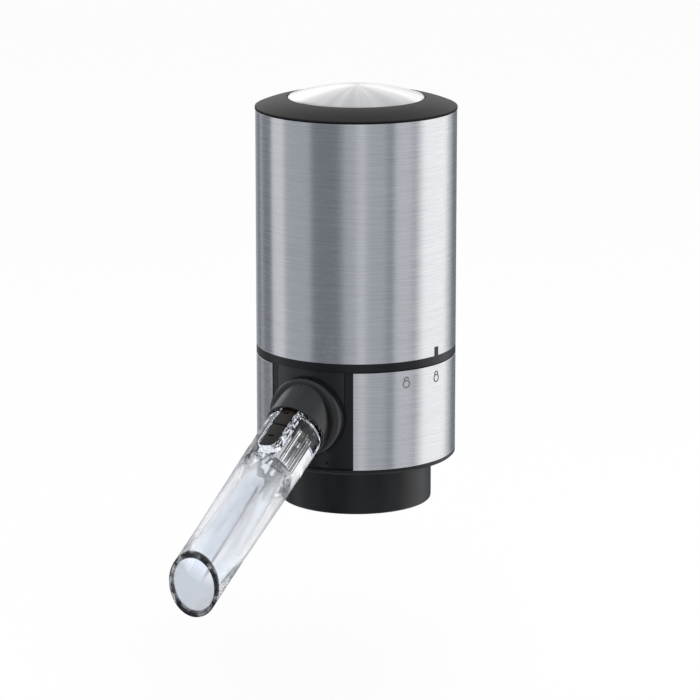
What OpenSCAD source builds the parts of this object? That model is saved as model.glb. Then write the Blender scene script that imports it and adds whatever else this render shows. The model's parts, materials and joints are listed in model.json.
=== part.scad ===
// Electric wine aerator that stands on a bottle neck: a base with collar and spout, and a twist-off head.
// Millimetres. The origin is the centre of the collar's mouth, +Z is up and the spout points to -Y.
// Angles round the body are counted from the front (-Y) towards +X.

/* [Body] */
// Diameter over the two steel sleeves
body_d = 60; // [60:0.5:70]
// Thickness of the sheet that the sleeves are rolled from
sleeve_wall = 0.8; // [0.6:0.1:1.0]
// Wall of the moulded shells under the sleeves
shell_wall = 1.9; // [1.7:0.1:2.1]
// Height of the black rim under the lower sleeve
base_rim_h = 1.4; // [1.2:0.1:3]
// Height of the lower sleeve
lower_sleeve_h = 29.5; // [29.5:0.5:36]
// Height of the black ring between the sleeves
seam_ring_h = 2.4; // [2.4:0.2:4]
// Thickness of the base's floor
floor_t = 2.4; // [2:0.1:3]

/* [Bottle collar] */
// Outer diameter of the collar
collar_d = 45.5; // [44.5:0.5:50]
// Height of the collar below the base
collar_h = 14.1; // [13.5:0.1:18]
// Wall of the collar
collar_wall = 2.4; // [1.8:0.1:2.6]
// Diameter of the seal's bore, which grips the bottle's finish
neck_bore_d = 29.4; // [28:0.1:29.6]
// Length of that bore
neck_bore_l = 12.3; // [11:0.1:12.7]
// Diameter of the socket that takes the dip tube
dip_tube_d = 7; // [5:0.1:7.2]
// Depth of that socket
dip_tube_l = 12; // [8:0.5:13]

/* [Top] */
// Height of the cap ring's upright edge
cap_edge_h = 0.7; // [0.5:0.1:1.5]
// Rise of the cap ring from its edge to its bore
cap_rise = 2.7; // [2:0.1:4]
// Width of the cap ring's sloping face, from the sleeve to the button
cap_face_w = 9.7; // [9.4:0.1:12]
// Height of the disc's dome above its rim
button_rise = 3.3; // [2:0.1:4]
// Travel of the button
button_travel = 1.5; // [0.8:0.1:1.6]

/* [Front] */
// Width of the filler that carries the spout
filler_w = 23.1; // [22:0.1:24]
// Width of the black strip between the filler and the lower sleeve's end
window_strip = 2.7; // [2:0.1:4]
// Diameter of the round boss at the filler
boss_d = 24; // [22:0.2:24.4]
// How far the boss stands out from the filler
boss_out = 2.9; // [2.7:0.1:4]
// Share of the room above and below the boss that lies above it
boss_top_share = 0.364; // [0.3:0.002:0.5]

/* [Spout] */
// Angle of the spout below the horizontal
spout_tilt = 30; // [28:0.5:32]
// Outer diameter of the black socket tube
socket_d = 18.8; // [18.6:0.1:19.4]
// Length of the socket tube, from the spout's datum to its mouth
socket_l = 6.7; // [6:0.1:9]
// Outer diameter of the clear spout
spout_d = 16.4; // [15.8:0.1:16.5]
// Reach of the spout's mouth in front of the body's axis
spout_reach = 92.4; // [84:0.2:100]
// Diameter of the spout's throat
throat_d = 7.4; // [6:0.1:7.6]
// Diameter of the spout's bore at its mouth
mouth_d = 13.9; // [12:0.1:14]
// Width of the black aerator insert in the top of the spout
insert_w = 5.8; // [5:0.1:6.2]
// Length of that insert
insert_l = 19.5; // [17:0.5:21]

/* [Twist lock] */
// Turn between locked and unlocked
lock_turn = 22.8; // [20:0.2:24]
// Angle of the index tab and of the locked mark, from the front
locked_deg = 82.4; // [78:0.2:90]
// Width of the index tab
index_tab_w = 1.8; // [1.5:0.1:3]
// Height of the index tab
index_tab_h = 2.7; // [1.5:0.1:4]
// Height of each padlock mark
mark_h = 3.5; // [3:0.1:4.5]

/* [Batteries] */
// Diameter of a cell
cell_d = 10.5; // [10:0.1:10.6]
// Length of a cell with its positive cap
cell_l = 44.5; // [43.5:0.1:44.7]

/* [Pump and motor] */
// Room between the diaphragm pump and the cells
pump_side_gap = 1.05; // [0.95:0.05:1.6]
// How much smaller in radius the motor is than the pump
motor_inset = 0.8; // [0.7:0.1:1.6]
// Height of the eccentric on the motor's shaft
cam_h = 2.2; // [1.8:0.1:2.8]
// Diameter of the motor shaft
shaft_d = 2; // [1.5:0.1:2.2]

/* [Screws] */
// Diameter of the screws' shanks
screw_d = 2.5; // [2:0.1:2.6]
// Length of the screws' shanks
screw_l = 6; // [5:0.1:6.1]
// Diameter of the screws' heads
screw_head_d = 3.5; // [3:0.1:3.6]

/* [Hidden] */
$fn = 96;

// Padlock marks, as shares of their height
mark_stroke = 0.38;
mark_body_share = 0.36;
mark_bow_share = 0.26;
mark_body_r = mark_body_share * mark_h;
mark_bow_r = mark_bow_share * mark_h;
mark_top_gap = 1.8;
mark_t = 0.06;

// Clearances
fit_gap = 0.1;
free_gap = 0.3;
bearing_gap = 0.05;
cut = 1;

// Radii of the shells
body_r = body_d / 2;
shell_r = body_r - sleeve_wall - fit_gap;
shell_in_r = shell_r - shell_wall;
plug_r = shell_in_r - fit_gap;

// Levels of the outside, from the collar's mouth up
seam_gap = 0.3;
z_rim = collar_h;
z_floor = z_rim + floor_t;
z_sleeve = z_rim + base_rim_h;
z_base_top = z_sleeve + lower_sleeve_h;
z_ring = z_base_top + seam_gap;
z_head = z_ring + seam_ring_h;

// Screws
screw_r = screw_d / 2;
screw_head_r = screw_head_d / 2;
screw_head_h = 1.2;
hex_socket_r = 0.9;
hex_socket_h = 0.7;
screw_count = 3;

// Collar and seal
rim_chamfer = 0.6;
collar_r = collar_d / 2;
collar_in_r = collar_r - collar_wall;
collar_flange_h = 3.8;
collar_chamfer = 0.5;
seal_lip_r = 6.5;
neck_r = neck_bore_d / 2;
seal_wall = 1.5;
collar_flange_r = neck_r + seal_wall;
z_neck_top = neck_bore_l;
collar_screw_inset = 2.1;
collar_screw_r = collar_flange_r + collar_screw_inset;

// Twist lock: a spigot with lugs on the head, a lipped ring in the base
lug_count = 3;
lug_deg = 20;
lug_out = 1.6;
lug_h = 2.6;
lug_first_deg = 30;
stop_deg = 4;
stop_play_deg = 1;
slot_play_deg = 0.5;
stop_root = 0.25;
spigot_wall = 1.4;
ring_wall = 0.9;
lug_r = plug_r - ring_wall - free_gap;
spigot_r = lug_r - lug_out;
spigot_in_r = spigot_r - spigot_wall;
deck_plate_t = 1.6;
spigot_depth = 6.9;
spigot_lift = 0.8;
z_spigot = z_ring - spigot_depth;
z_deck_top = z_spigot - spigot_lift;
z_deck = z_deck_top - deck_plate_t;
z_lip = z_spigot + lug_h + free_gap;
deck_post_r = 2.4;
deck_post_inset = 3.4;
deck_post_place_r = spigot_in_r - deck_post_inset;
deck_post_first_deg = 60;

// Wine block on the base's floor, with the dip tube's socket and the air chamber
block_r = 9;
block_neck_r = 7.6;
block_foot_r = seal_lip_r - free_gap;
block_flange_gap = 3.55;
block_flange_r = min(collar_screw_r - screw_head_r, deck_post_place_r - deck_post_r) - block_flange_gap;
block_flange_h = 2;
block_neck_h = 5;
dip_r = dip_tube_d / 2;
riser_r = 2.2;
z_foot = z_neck_top + free_gap;
z_dip_top = z_foot + dip_tube_l;
z_block_top = z_deck + block_neck_h;
air_bore_r = 0.7;
air_bore_place_r = 4.9;
chamber_r = 5.8;
chamber_h = 2.4;
chamber_drop = 1;
z_chamber = z_deck - chamber_drop;
z_valve = z_chamber + chamber_h;
valve_r = 6.8;
valve_flange_h = 1;
valve_cone_h = 1.8;
valve_tip_r = 1.2;
valve_bore_r = 0.8;
valve_slit_w = 0.3;
nozzle_r = 2;
nozzle_bore_r = 1;
nozzle_tip_lift = 0.6;
air_seal_r = valve_r - fit_gap;
air_seal_bore_r = nozzle_r + free_gap;
z_valve_top = z_valve + valve_flange_h;

// Filler, boss, socket tube and the passage behind it
datum_y = body_r;
boss_r = boss_d / 2;
mount_z = z_base_top - boss_r - boss_top_share * (lower_sleeve_h - boss_d);
datum_rise = 0.5;
datum_z = mount_z + datum_rise;
filler_r = filler_w / 2;
filler_gap = 0.15;
window_half_deg = asin((filler_r + window_strip) / body_r);
boss_round = 2.4;
boss_root = 8;
socket_r = socket_d / 2;
socket_wall = 0.8;
socket_bore_r = socket_r - socket_wall;
socket_depth = 4.7;
socket_back_t = 1.5;
passage_r = 2.2;
passage_arm_r = 3.8;
passage_back = 6.8;
passage_arm_l = shell_in_r - passage_back;
passage_clear = 1.2;
passage_z = z_deck - passage_clear - passage_arm_r;
passage_boss_wall = 0.8;
passage_seal_t = 1;
passage_lap = 1;
passage_boss_l = 6.5;

// Spout, measured along its axis from the datum
spout_r = spout_d / 2;
spout_root = socket_depth - free_gap;
throat_r = throat_d / 2;
mouth_r = mouth_d / 2;
inlet_r = 3;
inlet_end = 6;
flare_end = (spout_reach - datum_y) / cos(spout_tilt);
flare_power = 0.35;
flare_steps = 14;
flare_grading = 2;
flare_over = 9;
o_ring_wire_r = 0.6;
o_ring_place = -2.3;
o_ring_gap = 0.2;
o_ring_r = socket_bore_r - o_ring_gap - o_ring_wire_r;
insert_start = 3.2;
insert_floor = 4.4;
insert_top = 7.75;
shoulder_t = 0.4;
flare_start = insert_start + insert_l + shoulder_t;
insert_r = insert_w / 2;
insert_groove_w = 0.5;
insert_groove_h = 0.4;
insert_slot_w = 1.7;
insert_slot_l = 0.7;
air_jet_r = 0.5;

// Cells and their contacts
cell_count = 6;
cell_first_deg = 30;
cell_gap = 0.2;
cell_r = cell_d / 2;
cell_side_gap = 0.35;
cell_place_r = spigot_in_r - cell_side_gap - cell_r;
nub_h = 0.8;
nub_r = 1.9;
cell_edge = 0.4;
cover_recess = 1.3;
cover_t = 2;
cover_slot_w = 2;
cover_slot_l = 9;
cover_slot_h = 0.9;
contact_t = 0.4;
contact_w = 5;
contact_r = 3.4;
contact_bump_r = 1.3;
spring_h = 2;
spring_r = 2.6;
spring_tip_r = 1.6;
spring_wire_r = 0.22;
spring_turns = 2;
z_cover = z_ring + cover_recess;
z_cover_top = z_cover + cover_t;
z_cell = z_cover_top + contact_t + spring_h;
cell_body_l = cell_l - nub_h;
z_cell_top = z_cell + cell_body_l;
z_tray_plate = z_cell_top + spring_h + contact_t;

// Battery tray and head casing
tray_plate_t = 2;
tray_skin = 0.5;
tray_lift = 0.6;
tray_r = spigot_in_r + tray_skin;
z_tray = z_cover_top + tray_lift;
z_tray_top = z_tray_plate + tray_plate_t;
ledge_w = 1.6;
ledge_h = 2;
casing_boss_r = 1.7;
casing_boss_h = 7.3;
index_screw_inset = 0.2;
index_screw_r = spigot_r + casing_boss_r + index_screw_inset;
deck_screw_edge = 2.7;
deck_screw_r = plug_r - deck_screw_edge;
tray_post_r = 2.2;
board_post_r = 1.5;
board_post_inset = 3;
pocket_r = 4;

// Pump, from its head up to the motor
pump_r = cell_place_r - cell_r - pump_side_gap;
pump_wall = 1.2;
pump_gap = 0.2;
pump_head_h = 5.5;
pump_seat_h = 1.1;
pump_seat_wall = 2;
pump_seat_inset = 1.3;
pump_seat_r = pump_r - pump_seat_inset;
nozzle_flange_w = 0.5;
diaphragm_t = 1.2;
chamber_count = 3;
chamber_place_share = 0.61;
cup_share = 0.31;
chamber_place_r = chamber_place_share * (pump_r - pump_wall);
cup_r = cup_share * (pump_r - pump_wall);
cup_h = 3.8;
stem_r = 0.9;
stem_h = 1.8;
valve_pocket_share = 0.8;
valve_pocket_r = valve_pocket_share * cup_r;
valve_pocket_h = 1.5;
motor_wall = 0.6;
motor_base_t = 0.8;
motor_boss_r = 3;
motor_boss_h = 1.8;
shaft_r = shaft_d / 2;
swing_lift = 0.6;
swing_t = 1.4;
swing_hub_r = 2.6;
swing_arm_w = 3;
swing_pin_r = 0.9;
cam_r = 3.6;
cam_lift = 1.3;
cam_gap = 0.4;
cam_pin_place_r = 1.6;
cam_pin_r = 0.95;
z_pump = z_cover_top + pump_seat_h + free_gap;
z_diaphragm = z_pump + pump_head_h;
z_pump_body = z_diaphragm + diaphragm_t;
z_stem_top = z_pump_body + cup_h + stem_h;
z_swing = z_stem_top + swing_lift;
z_cam = z_swing + swing_t + cam_lift;
z_cam_top = z_cam + cam_h;
z_motor = z_cam_top + cam_gap + motor_boss_h;
z_motor_top = z_tray_plate - free_gap;

// Motor inside
motor_r = pump_r - motor_inset;
magnet_t = 2;
magnet_lift = 3;
magnet_drop = 4.8;
magnet_h = z_motor_top - z_motor - magnet_lift - magnet_drop;
magnet_deg = 130;
armature_gap = 0.6;
armature_slots = 3;
armature_slot_w = 2.4;
armature_slot_h = 3;
armature_trim = 0.5;
commutator_r = 2.6;
end_cap_plug_h = 0.8;
end_cap_inset = 1.6;
end_cap_r = motor_r - end_cap_inset;
end_cap_h = 3;
brush_w = 1.6;
brush_h = 1.6;
lead_r = 0.6;
lead_l = 2.3;
lead_place_share = 0.58;
lead_place_r = lead_place_share * end_cap_r;
z_armature = z_motor + magnet_lift + armature_trim;
armature_h = magnet_h - 2 * armature_trim;
z_commutator = z_armature + armature_h + 2 * armature_trim;
z_end_plug = z_motor_top - end_cap_plug_h;
shaft_end_cover = 1.2;
z_shaft_top = z_motor_top + end_cap_h - shaft_end_cover;

// Cap ring, deck under the button, carrier and switch
cap_over = 0.15;
cap_wall = 1.6;
cap_web_t = 1.8;
cap_plug_h = 5.1;
cap_steps = 8;
cap_bulge = 0.35;
button_r = body_r - cap_face_w;
button_bore_r = button_r + free_gap;
button_wall = 0.8;
button_skirt_h = 2.7;
button_edge = 0.3;
dome_r = (pow(button_r, 2) + pow(button_rise, 2)) / (2 * button_rise);
carrier_plate_t = 1.6;
carrier_wall = 1.5;
carrier_flange_out = 1.2;
carrier_flange_h = 2;
carrier_boss_r = 4;
carrier_flange_in_r = button_r + carrier_flange_out + free_gap;
carrier_dome_drop = pow(carrier_boss_r, 2) / (2 * dome_r);
cap_wall_over = 0.7;
cap_step_drop = 3.1;
button_deck_t = 2;
button_stop_gap = 1.2;
button_proud = 0.1;
switch_w = 8;
switch_h = 4.4;
switch_drop = 0.9;
plunger_r = 1.75;
plunger_guide = 0.8;
board_t = 1.6;
board_inset = 7.1;
board_r = plug_r - board_inset;

// Levels of the top, from the motor's leads up to the button
z_board = z_motor_top + end_cap_h + lead_l;
z_board_top = z_board + board_t;
z_switch_top = z_board_top + switch_h;
z_button_deck = z_switch_top + switch_drop;
z_button_deck_top = z_button_deck + button_deck_t;
z_boss_end = z_button_deck_top + free_gap;
z_carrier_flange = z_button_deck_top + button_travel + button_stop_gap;
z_cap_wall = z_carrier_flange - cap_wall_over;
z_cap_step = z_carrier_flange + carrier_flange_h + free_gap;
z_cap = z_cap_step + cap_step_drop;
z_cap_edge = z_cap + cap_edge_h;
z_cap_top = z_cap_edge + cap_rise;
z_button_rim = z_cap_top + button_proud;
z_apex = z_button_rim + button_rise;
z_carrier_top = z_button_rim - button_skirt_h;
z_carrier = z_carrier_top - carrier_plate_t;
return_spring_r = 9;
return_spring_wire_r = 0.4;
return_spring_turns = 4;

steel = [0.78, 0.80, 0.82];
black = [0.12, 0.12, 0.13];
dark = [0.2, 0.2, 0.21];
rubber = [0.25, 0.25, 0.26];
acrylic = [0.85, 0.9, 0.95, 0.4];
brass = [0.8, 0.65, 0.3];

// Points of an arc of radius r round [x, y]
function arc(x, y, r, from, to, steps) =
    [for (i = [0:steps]) let (a = from + (to - from) * i / steps) [x + r * cos(a), y + r * sin(a)]];

// Radius of the spout's bore at a distance s along it
function flare_r(s) = throat_r
    + (mouth_r - throat_r) * pow((s - flare_start) / (flare_end - flare_start), flare_power);

// Puts what is drawn at the front at an angle round the body
module at_deg(a) {
    rotate([0, 0, a]) children();
}

// Puts what is drawn along +Z on the spout's axis, with +Y towards its upper side
module on_spout() {
    translate([0, -datum_y, datum_z]) rotate([90 + spout_tilt, 0, 0]) children();
}

// Puts what is drawn along +Z on a level axis that points to the front
module to_front(y, z) {
    translate([0, -y, z]) rotate([90, 0, 0]) children();
}

module disc(r, z_from, z_to) {
    translate([0, 0, z_from]) cylinder(r = r, h = z_to - z_from);
}

module tube(r_out, r_in, z_from, z_to) {
    difference() {
        disc(r_out, z_from, z_to);
        disc(r_in, z_from - cut, z_to + cut);
    }
}

// A part of a tube between two angles round the body
module sector(r_out, r_in, z_from, z_to, from, to) {
    translate([0, 0, z_from]) rotate([0, 0, from - 90])
        rotate_extrude(angle = to - from) translate([r_in, 0]) square([r_out - r_in, z_to - z_from]);
}

// Screws stand with their heads up and their seats at z
module screw(z) {
    difference() {
        union() {
            disc(screw_head_r, z, z + screw_head_h);
            disc(screw_r, z - screw_l, z);
        }
        translate([0, 0, z + screw_head_h - hex_socket_h])
            cylinder(r = hex_socket_r, h = hex_socket_h + cut, $fn = 6);
    }
}

module ring_of(count, place_r, first = 0) {
    for (i = [0:count - 1]) at_deg(first + 360 * i / count) translate([0, -place_r, 0]) children();
}

// A wire wound round Z, with its radius changing evenly from bottom to top
module coil(r_from, r_to, z_from, z_to, turns, wire_r, sides, steps) {
    rings = turns * steps;
    points = [for (i = [0:rings], j = [0:sides - 1])
        let (t = i / rings, a = 360 * turns * t, b = 360 * j / sides, r = r_from + (r_to - r_from) * t)
        [(r + wire_r * cos(b)) * cos(a), (r + wire_r * cos(b)) * sin(a),
            z_from + wire_r + (z_to - z_from - 2 * wire_r) * t + wire_r * sin(b)]];
    side_faces = [for (i = [0:rings - 1], j = [0:sides - 1], half = [0, 1])
        let (a = i * sides + j, b = i * sides + (j + 1) % sides)
        half == 0 ? [a, b, b + sides] : [a, b + sides, a + sides]];
    first_cap = [for (j = [1:sides - 2]) [0, j + 1, j]];
    last_cap = [for (j = [1:sides - 2]) [rings * sides, rings * sides + j, rings * sides + j + 1]];
    polyhedron(points = points, faces = concat(side_faces, first_cap, last_cap));
}

// The outline of the slot that the filler closes, drawn towards the front
module filler_outline(r, z_to) {
    to_front(0, mount_z) cylinder(r = r, h = body_r);
    translate([-r, -body_r, mount_z]) cube([2 * r, body_r, z_to - mount_z]);
}

// Base

module base_housing() color(black) difference() {
    union() {
        rotate_extrude() polygon([
            [0, z_rim], [body_r - rim_chamfer, z_rim], [body_r, z_rim + rim_chamfer], [body_r, z_sleeve],
            [shell_r, z_sleeve], [shell_r, z_base_top], [shell_in_r, z_base_top], [shell_in_r, z_floor],
            [0, z_floor]]);
        ring_of(screw_count, deck_post_place_r, deck_post_first_deg)
            disc(deck_post_r, z_floor - floor_t / 2, z_deck);
    }
    disc(block_foot_r + fit_gap, z_rim - cut, z_floor + cut);
    ring_of(screw_count, collar_screw_r) disc(screw_r + fit_gap, z_rim - cut, z_floor + cut);
    ring_of(screw_count, deck_post_place_r, deck_post_first_deg)
        disc(screw_r, z_deck_top - screw_l, z_deck + cut);
    filler_outline(filler_r, z_base_top + cut);
}

module lower_sleeve() color(steel) difference() {
    tube(body_r, body_r - sleeve_wall, z_sleeve, z_base_top);
    translate([0, 0, z_sleeve - cut]) linear_extrude(lower_sleeve_h + 2 * cut) polygon([[0, 0],
        [-2 * body_r * sin(window_half_deg), -2 * body_r * cos(window_half_deg)],
        [2 * body_r * sin(window_half_deg), -2 * body_r * cos(window_half_deg)]]);
}

// A padlock's outline in the plane of the sleeve, with its shackle raised on one leg when it is open
module padlock(is_open) {
    bow_z = mark_h - mark_bow_r;
    leg_z = mark_body_r;
    difference() {
        translate([0, mark_body_r]) circle(r = mark_body_r);
        translate([0, mark_body_r]) circle(r = mark_body_r - mark_stroke);
    }
    difference() {
        union() {
            translate([0, bow_z]) circle(r = mark_bow_r);
            translate([-mark_bow_r, leg_z]) square([2 * mark_bow_r, bow_z - leg_z]);
        }
        translate([0, bow_z]) circle(r = mark_bow_r - mark_stroke);
        translate([mark_stroke - mark_bow_r, 0])
            square([2 * mark_bow_r - (is_open ? 0 : 2 * mark_stroke), bow_z]);
        translate([0, mark_body_r]) circle(r = mark_body_r);
    }
}

module lock_marks() color(dark) intersection() {
    tube(body_r + mark_t, body_r, z_sleeve, z_base_top);
    union() {
        for (is_open = [false, true]) at_deg(locked_deg - (is_open ? lock_turn : 0))
            to_front(body_r - cut, z_base_top - mark_top_gap - mark_h)
                linear_extrude(2 * cut) padlock(is_open);
    }
}

module spout_mount() color(dark) difference() {
    union() {
        intersection() {
            tube(shell_r, shell_in_r, z_rim, z_base_top);
            filler_outline(filler_r - filler_gap, z_base_top);
        }
        difference() {
            to_front(shell_r - boss_root, mount_z) rotate_extrude() polygon(concat([[0, 0], [boss_r, 0]],
                arc(boss_r - boss_round, boss_root + boss_out - boss_round, boss_round, 0, 90, 6),
                [[0, boss_root + boss_out]]));
            difference() {
                disc(shell_r, z_rim, z_base_top);
                intersection() {
                    tube(shell_r + cut, shell_in_r, z_rim - cut, z_base_top + cut);
                    filler_outline(filler_r - filler_gap, z_base_top);
                }
            }
        }
        on_spout() translate([0, 0, -socket_depth - socket_back_t])
            cylinder(r = socket_r, h = socket_depth + socket_back_t + socket_l);
        to_front(passage_arm_l - passage_lap, passage_z)
            cylinder(r = passage_arm_r + fit_gap + passage_boss_wall, h = passage_boss_l);
    }
    disc(shell_in_r, z_deck - free_gap, z_base_top + cut);
    on_spout() translate([0, 0, -socket_depth]) cylinder(r = socket_bore_r, h = spout_reach);
    to_front(passage_arm_l - passage_lap - cut, passage_z)
        cylinder(r = passage_arm_r + fit_gap, h = cut + passage_lap + passage_seal_t);
    to_front(passage_arm_l, passage_z) cylinder(r = passage_r, h = passage_boss_l);
}

module bottle_collar() color(black) difference() {
    rotate_extrude() polygon([
        [collar_in_r, 0], [collar_r - collar_chamfer, 0], [collar_r, collar_chamfer], [collar_r, z_rim],
        [collar_flange_r, z_rim], [collar_flange_r, z_rim - collar_flange_h],
        [collar_in_r, z_rim - collar_flange_h]]);
    ring_of(screw_count, collar_screw_r) disc(screw_r, z_floor - screw_l, z_rim + cut);
}

module neck_seal() color(rubber) rotate_extrude() polygon([
    [neck_r, 0], [collar_in_r, 0], [collar_in_r, z_rim - collar_flange_h],
    [collar_flange_r, z_rim - collar_flange_h], [collar_flange_r, z_rim], [seal_lip_r, z_rim],
    [seal_lip_r, z_neck_top], [neck_r, z_neck_top]]);

module wine_block() color("gainsboro") difference() {
    union() {
        disc(block_foot_r, z_foot, z_deck);
        disc(block_flange_r, z_floor, z_floor + block_flange_h);
        disc(block_r, z_floor, z_deck);
        disc(block_neck_r, z_floor, z_block_top);
        to_front(0, passage_z) cylinder(r = passage_arm_r, h = passage_arm_l);
    }
    disc(dip_r, z_foot - cut, z_dip_top);
    disc(riser_r, z_foot, passage_z);
    to_front(0, passage_z) cylinder(r = passage_r, h = passage_arm_l + cut);
    translate([0, air_bore_place_r, 0]) disc(air_bore_r, z_foot - cut, z_valve);
    disc(chamber_r, z_chamber, z_block_top);
    disc(valve_r, z_valve, z_block_top + cut);
}

module passage_seal() color(rubber) to_front(passage_arm_l, passage_z) difference() {
    cylinder(r = passage_arm_r, h = passage_seal_t);
    translate([0, 0, -cut]) cylinder(r = passage_r, h = passage_seal_t + 2 * cut);
}

module base_deck() color(dark) {
    difference() {
        disc(plug_r, z_deck, z_base_top);
        disc(block_neck_r + fit_gap, z_deck - cut, z_deck_top + cut);
        rotate_extrude() polygon([
            [0, z_deck_top], [lug_r + free_gap, z_deck_top], [lug_r + free_gap, z_lip],
            [spigot_r + free_gap, z_lip], [spigot_r + free_gap, z_base_top + cut], [0, z_base_top + cut]]);
        for (i = [0:lug_count - 1]) let (a = lug_first_deg + 360 * i / lug_count - lock_turn)
            sector(lug_r + free_gap + fit_gap, spigot_r, z_lip - free_gap, z_base_top + cut,
                a - lug_deg / 2 - slot_play_deg, a + lug_deg / 2 + slot_play_deg);
        ring_of(screw_count, deck_post_place_r, deck_post_first_deg)
            disc(screw_r + fit_gap, z_deck - cut, z_deck_top + cut);
    }
    for (i = [0:lug_count - 1]) let (a = lug_first_deg + 360 * i / lug_count) {
        lug_stop(a + lug_deg / 2 + stop_play_deg);
        lug_stop(a - lug_deg / 2 - lock_turn - stop_play_deg - stop_deg);
    }
}

// A stop stands in the groove and is rooted in the deck, the wall and the lip
module lug_stop(a) {
    sector(lug_r + free_gap + stop_root, spigot_r + free_gap + stop_root, z_deck_top - stop_root,
        z_lip + stop_root, a, a + stop_deg);
}

module check_valve() color(rubber) difference() {
    union() {
        disc(valve_r - fit_gap, z_valve, z_valve_top);
        translate([0, 0, z_valve - valve_cone_h])
            cylinder(r1 = valve_tip_r, r2 = chamber_r - 2 * valve_bore_r, h = valve_cone_h);
    }
    disc(valve_bore_r, z_valve - valve_cone_h / 2, z_valve_top + cut);
    translate([-valve_slit_w / 2, -valve_tip_r / 2, z_valve - valve_cone_h - cut])
        cube([valve_slit_w, valve_tip_r, cut + valve_cone_h]);
}

module air_seal() color(rubber) tube(air_seal_r, air_seal_bore_r, z_valve_top, z_block_top);

module base_screws() color(steel) {
    ring_of(screw_count, collar_screw_r) screw(z_floor);
    ring_of(screw_count, deck_post_place_r, deck_post_first_deg) screw(z_deck_top);
}

// Head shells

module index_ring() color(black) difference() {
    union() {
        disc(body_r, z_ring, z_head);
        disc(spigot_r, z_spigot, z_head);
        for (i = [0:lug_count - 1]) let (a = lug_first_deg + 360 * i / lug_count)
            sector(lug_r, spigot_in_r, z_spigot, z_spigot + lug_h, a - lug_deg / 2, a + lug_deg / 2);
        intersection() {
            tube(body_r, shell_r + fit_gap, z_ring, z_head + index_tab_h);
            at_deg(locked_deg) translate([-index_tab_w / 2, -body_r, z_ring])
                cube([index_tab_w, body_r, seam_ring_h + index_tab_h]);
        }
    }
    disc(spigot_in_r, z_spigot - cut, z_head + cut);
    ring_of(screw_count, index_screw_r) {
        disc(screw_r + fit_gap, z_ring - cut, z_head + cut);
        disc(screw_head_r + fit_gap, z_ring - cut, z_ring + screw_head_h);
    }
}

module head_casing() color(black) difference() {
    union() {
        tube(shell_r, shell_in_r, z_head, z_cap);
        tube(shell_in_r + cell_gap, plug_r - ledge_w, z_tray_plate - ledge_h, z_tray_plate);
        intersection() {
            ring_of(screw_count, index_screw_r) disc(casing_boss_r, z_head, z_head + casing_boss_h);
            disc(shell_r, z_head, z_cap);
        }
    }
    ring_of(screw_count, index_screw_r)
        disc(screw_r, z_head - cut, z_ring + screw_head_h + screw_l);
}

module upper_sleeve() color(steel) difference() {
    tube(body_r, body_r - sleeve_wall, z_head, z_cap);
    at_deg(locked_deg) translate([-index_tab_w / 2 - fit_gap, -body_r - cut, z_head - cut])
        cube([index_tab_w + 2 * fit_gap, body_r, cut + index_tab_h + fit_gap]);
}

module cap_ring() color(dark) rotate_extrude() polygon(concat(
    [[body_r + cap_over, z_cap]],
    [for (i = [0:cap_steps]) let (t = i / cap_steps)
        [body_r + cap_over + (button_bore_r - body_r - cap_over) * t,
            z_cap_edge + cap_rise * t + cap_bulge * 4 * t * (1 - t)]],
    [[button_bore_r, z_cap_step], [carrier_flange_in_r, z_cap_step], [carrier_flange_in_r, z_cap_wall],
        [carrier_flange_in_r + cap_wall, z_cap_wall], [carrier_flange_in_r + cap_wall, z_cap - cap_web_t],
        [plug_r - cap_wall, z_cap - cap_web_t], [plug_r - cap_wall, z_cap - cap_plug_h],
        [plug_r, z_cap - cap_plug_h], [plug_r, z_cap]]));

// Batteries

module at_cell(i) {
    at_deg(cell_first_deg + 360 * i / cell_count) translate([0, -cell_place_r, 0]) children();
}

module battery(i) color(i % 2 == 0 ? "dimgray" : "slategray") at_cell(i) {
    up = i % 2 == 0;
    rotate_extrude() polygon(concat([[0, z_cell]],
        arc(cell_r - cell_edge, z_cell + cell_edge, cell_edge, -90, 0, 3),
        arc(cell_r - cell_edge, z_cell_top - cell_edge, cell_edge, 0, 90, 3), [[0, z_cell_top]]));
    disc(nub_r, up ? z_cell_top - nub_h : z_cell - nub_h, up ? z_cell_top + nub_h : z_cell + nub_h);
}
module battery_1() battery(0);
module battery_2() battery(1);
module battery_3() battery(2);
module battery_4() battery(3);
module battery_5() battery(4);
module battery_6() battery(5);

// A strip that joins two neighbouring cells
module contact_strip(i, z) {
    span = 2 * cell_place_r * sin(180 / cell_count);
    at_cell(i) disc(contact_r, z, z + contact_t);
    at_cell(i + 1) disc(contact_r, z, z + contact_t);
    at_deg(cell_first_deg + 360 * (i + 0.5) / cell_count)
        translate([-span / 2, -cell_place_r * cos(180 / cell_count) - contact_w / 2, z])
        cube([span, contact_w, contact_t]);
}

module lower_contacts() color(brass) {
    for (i = [1, 3]) contact_strip(i, z_cover_top);
    for (i = [0, 5]) at_cell(i) disc(contact_r, z_cover_top, z_cover_top + contact_t);
    for (i = [1, 3, 5]) at_cell(i) disc(contact_bump_r, z_cover_top, z_cell - nub_h);
}

module upper_contacts() color(brass) {
    for (i = [0, 2, 4]) {
        contact_strip(i, z_tray_plate - contact_t);
        at_cell(i) disc(contact_bump_r, z_cell_top + nub_h, z_tray_plate);
    }
}

module battery_springs() color(steel) {
    for (i = [0, 2, 4]) {
        at_cell(i) coil(spring_r, spring_tip_r, z_cover_top + contact_t, z_cell, spring_turns,
            spring_wire_r, 5, 14);
        at_cell(i + 1) coil(spring_tip_r, spring_r, z_cell_top, z_tray_plate - contact_t, spring_turns,
            spring_wire_r, 5, 14);
    }
}

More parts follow.
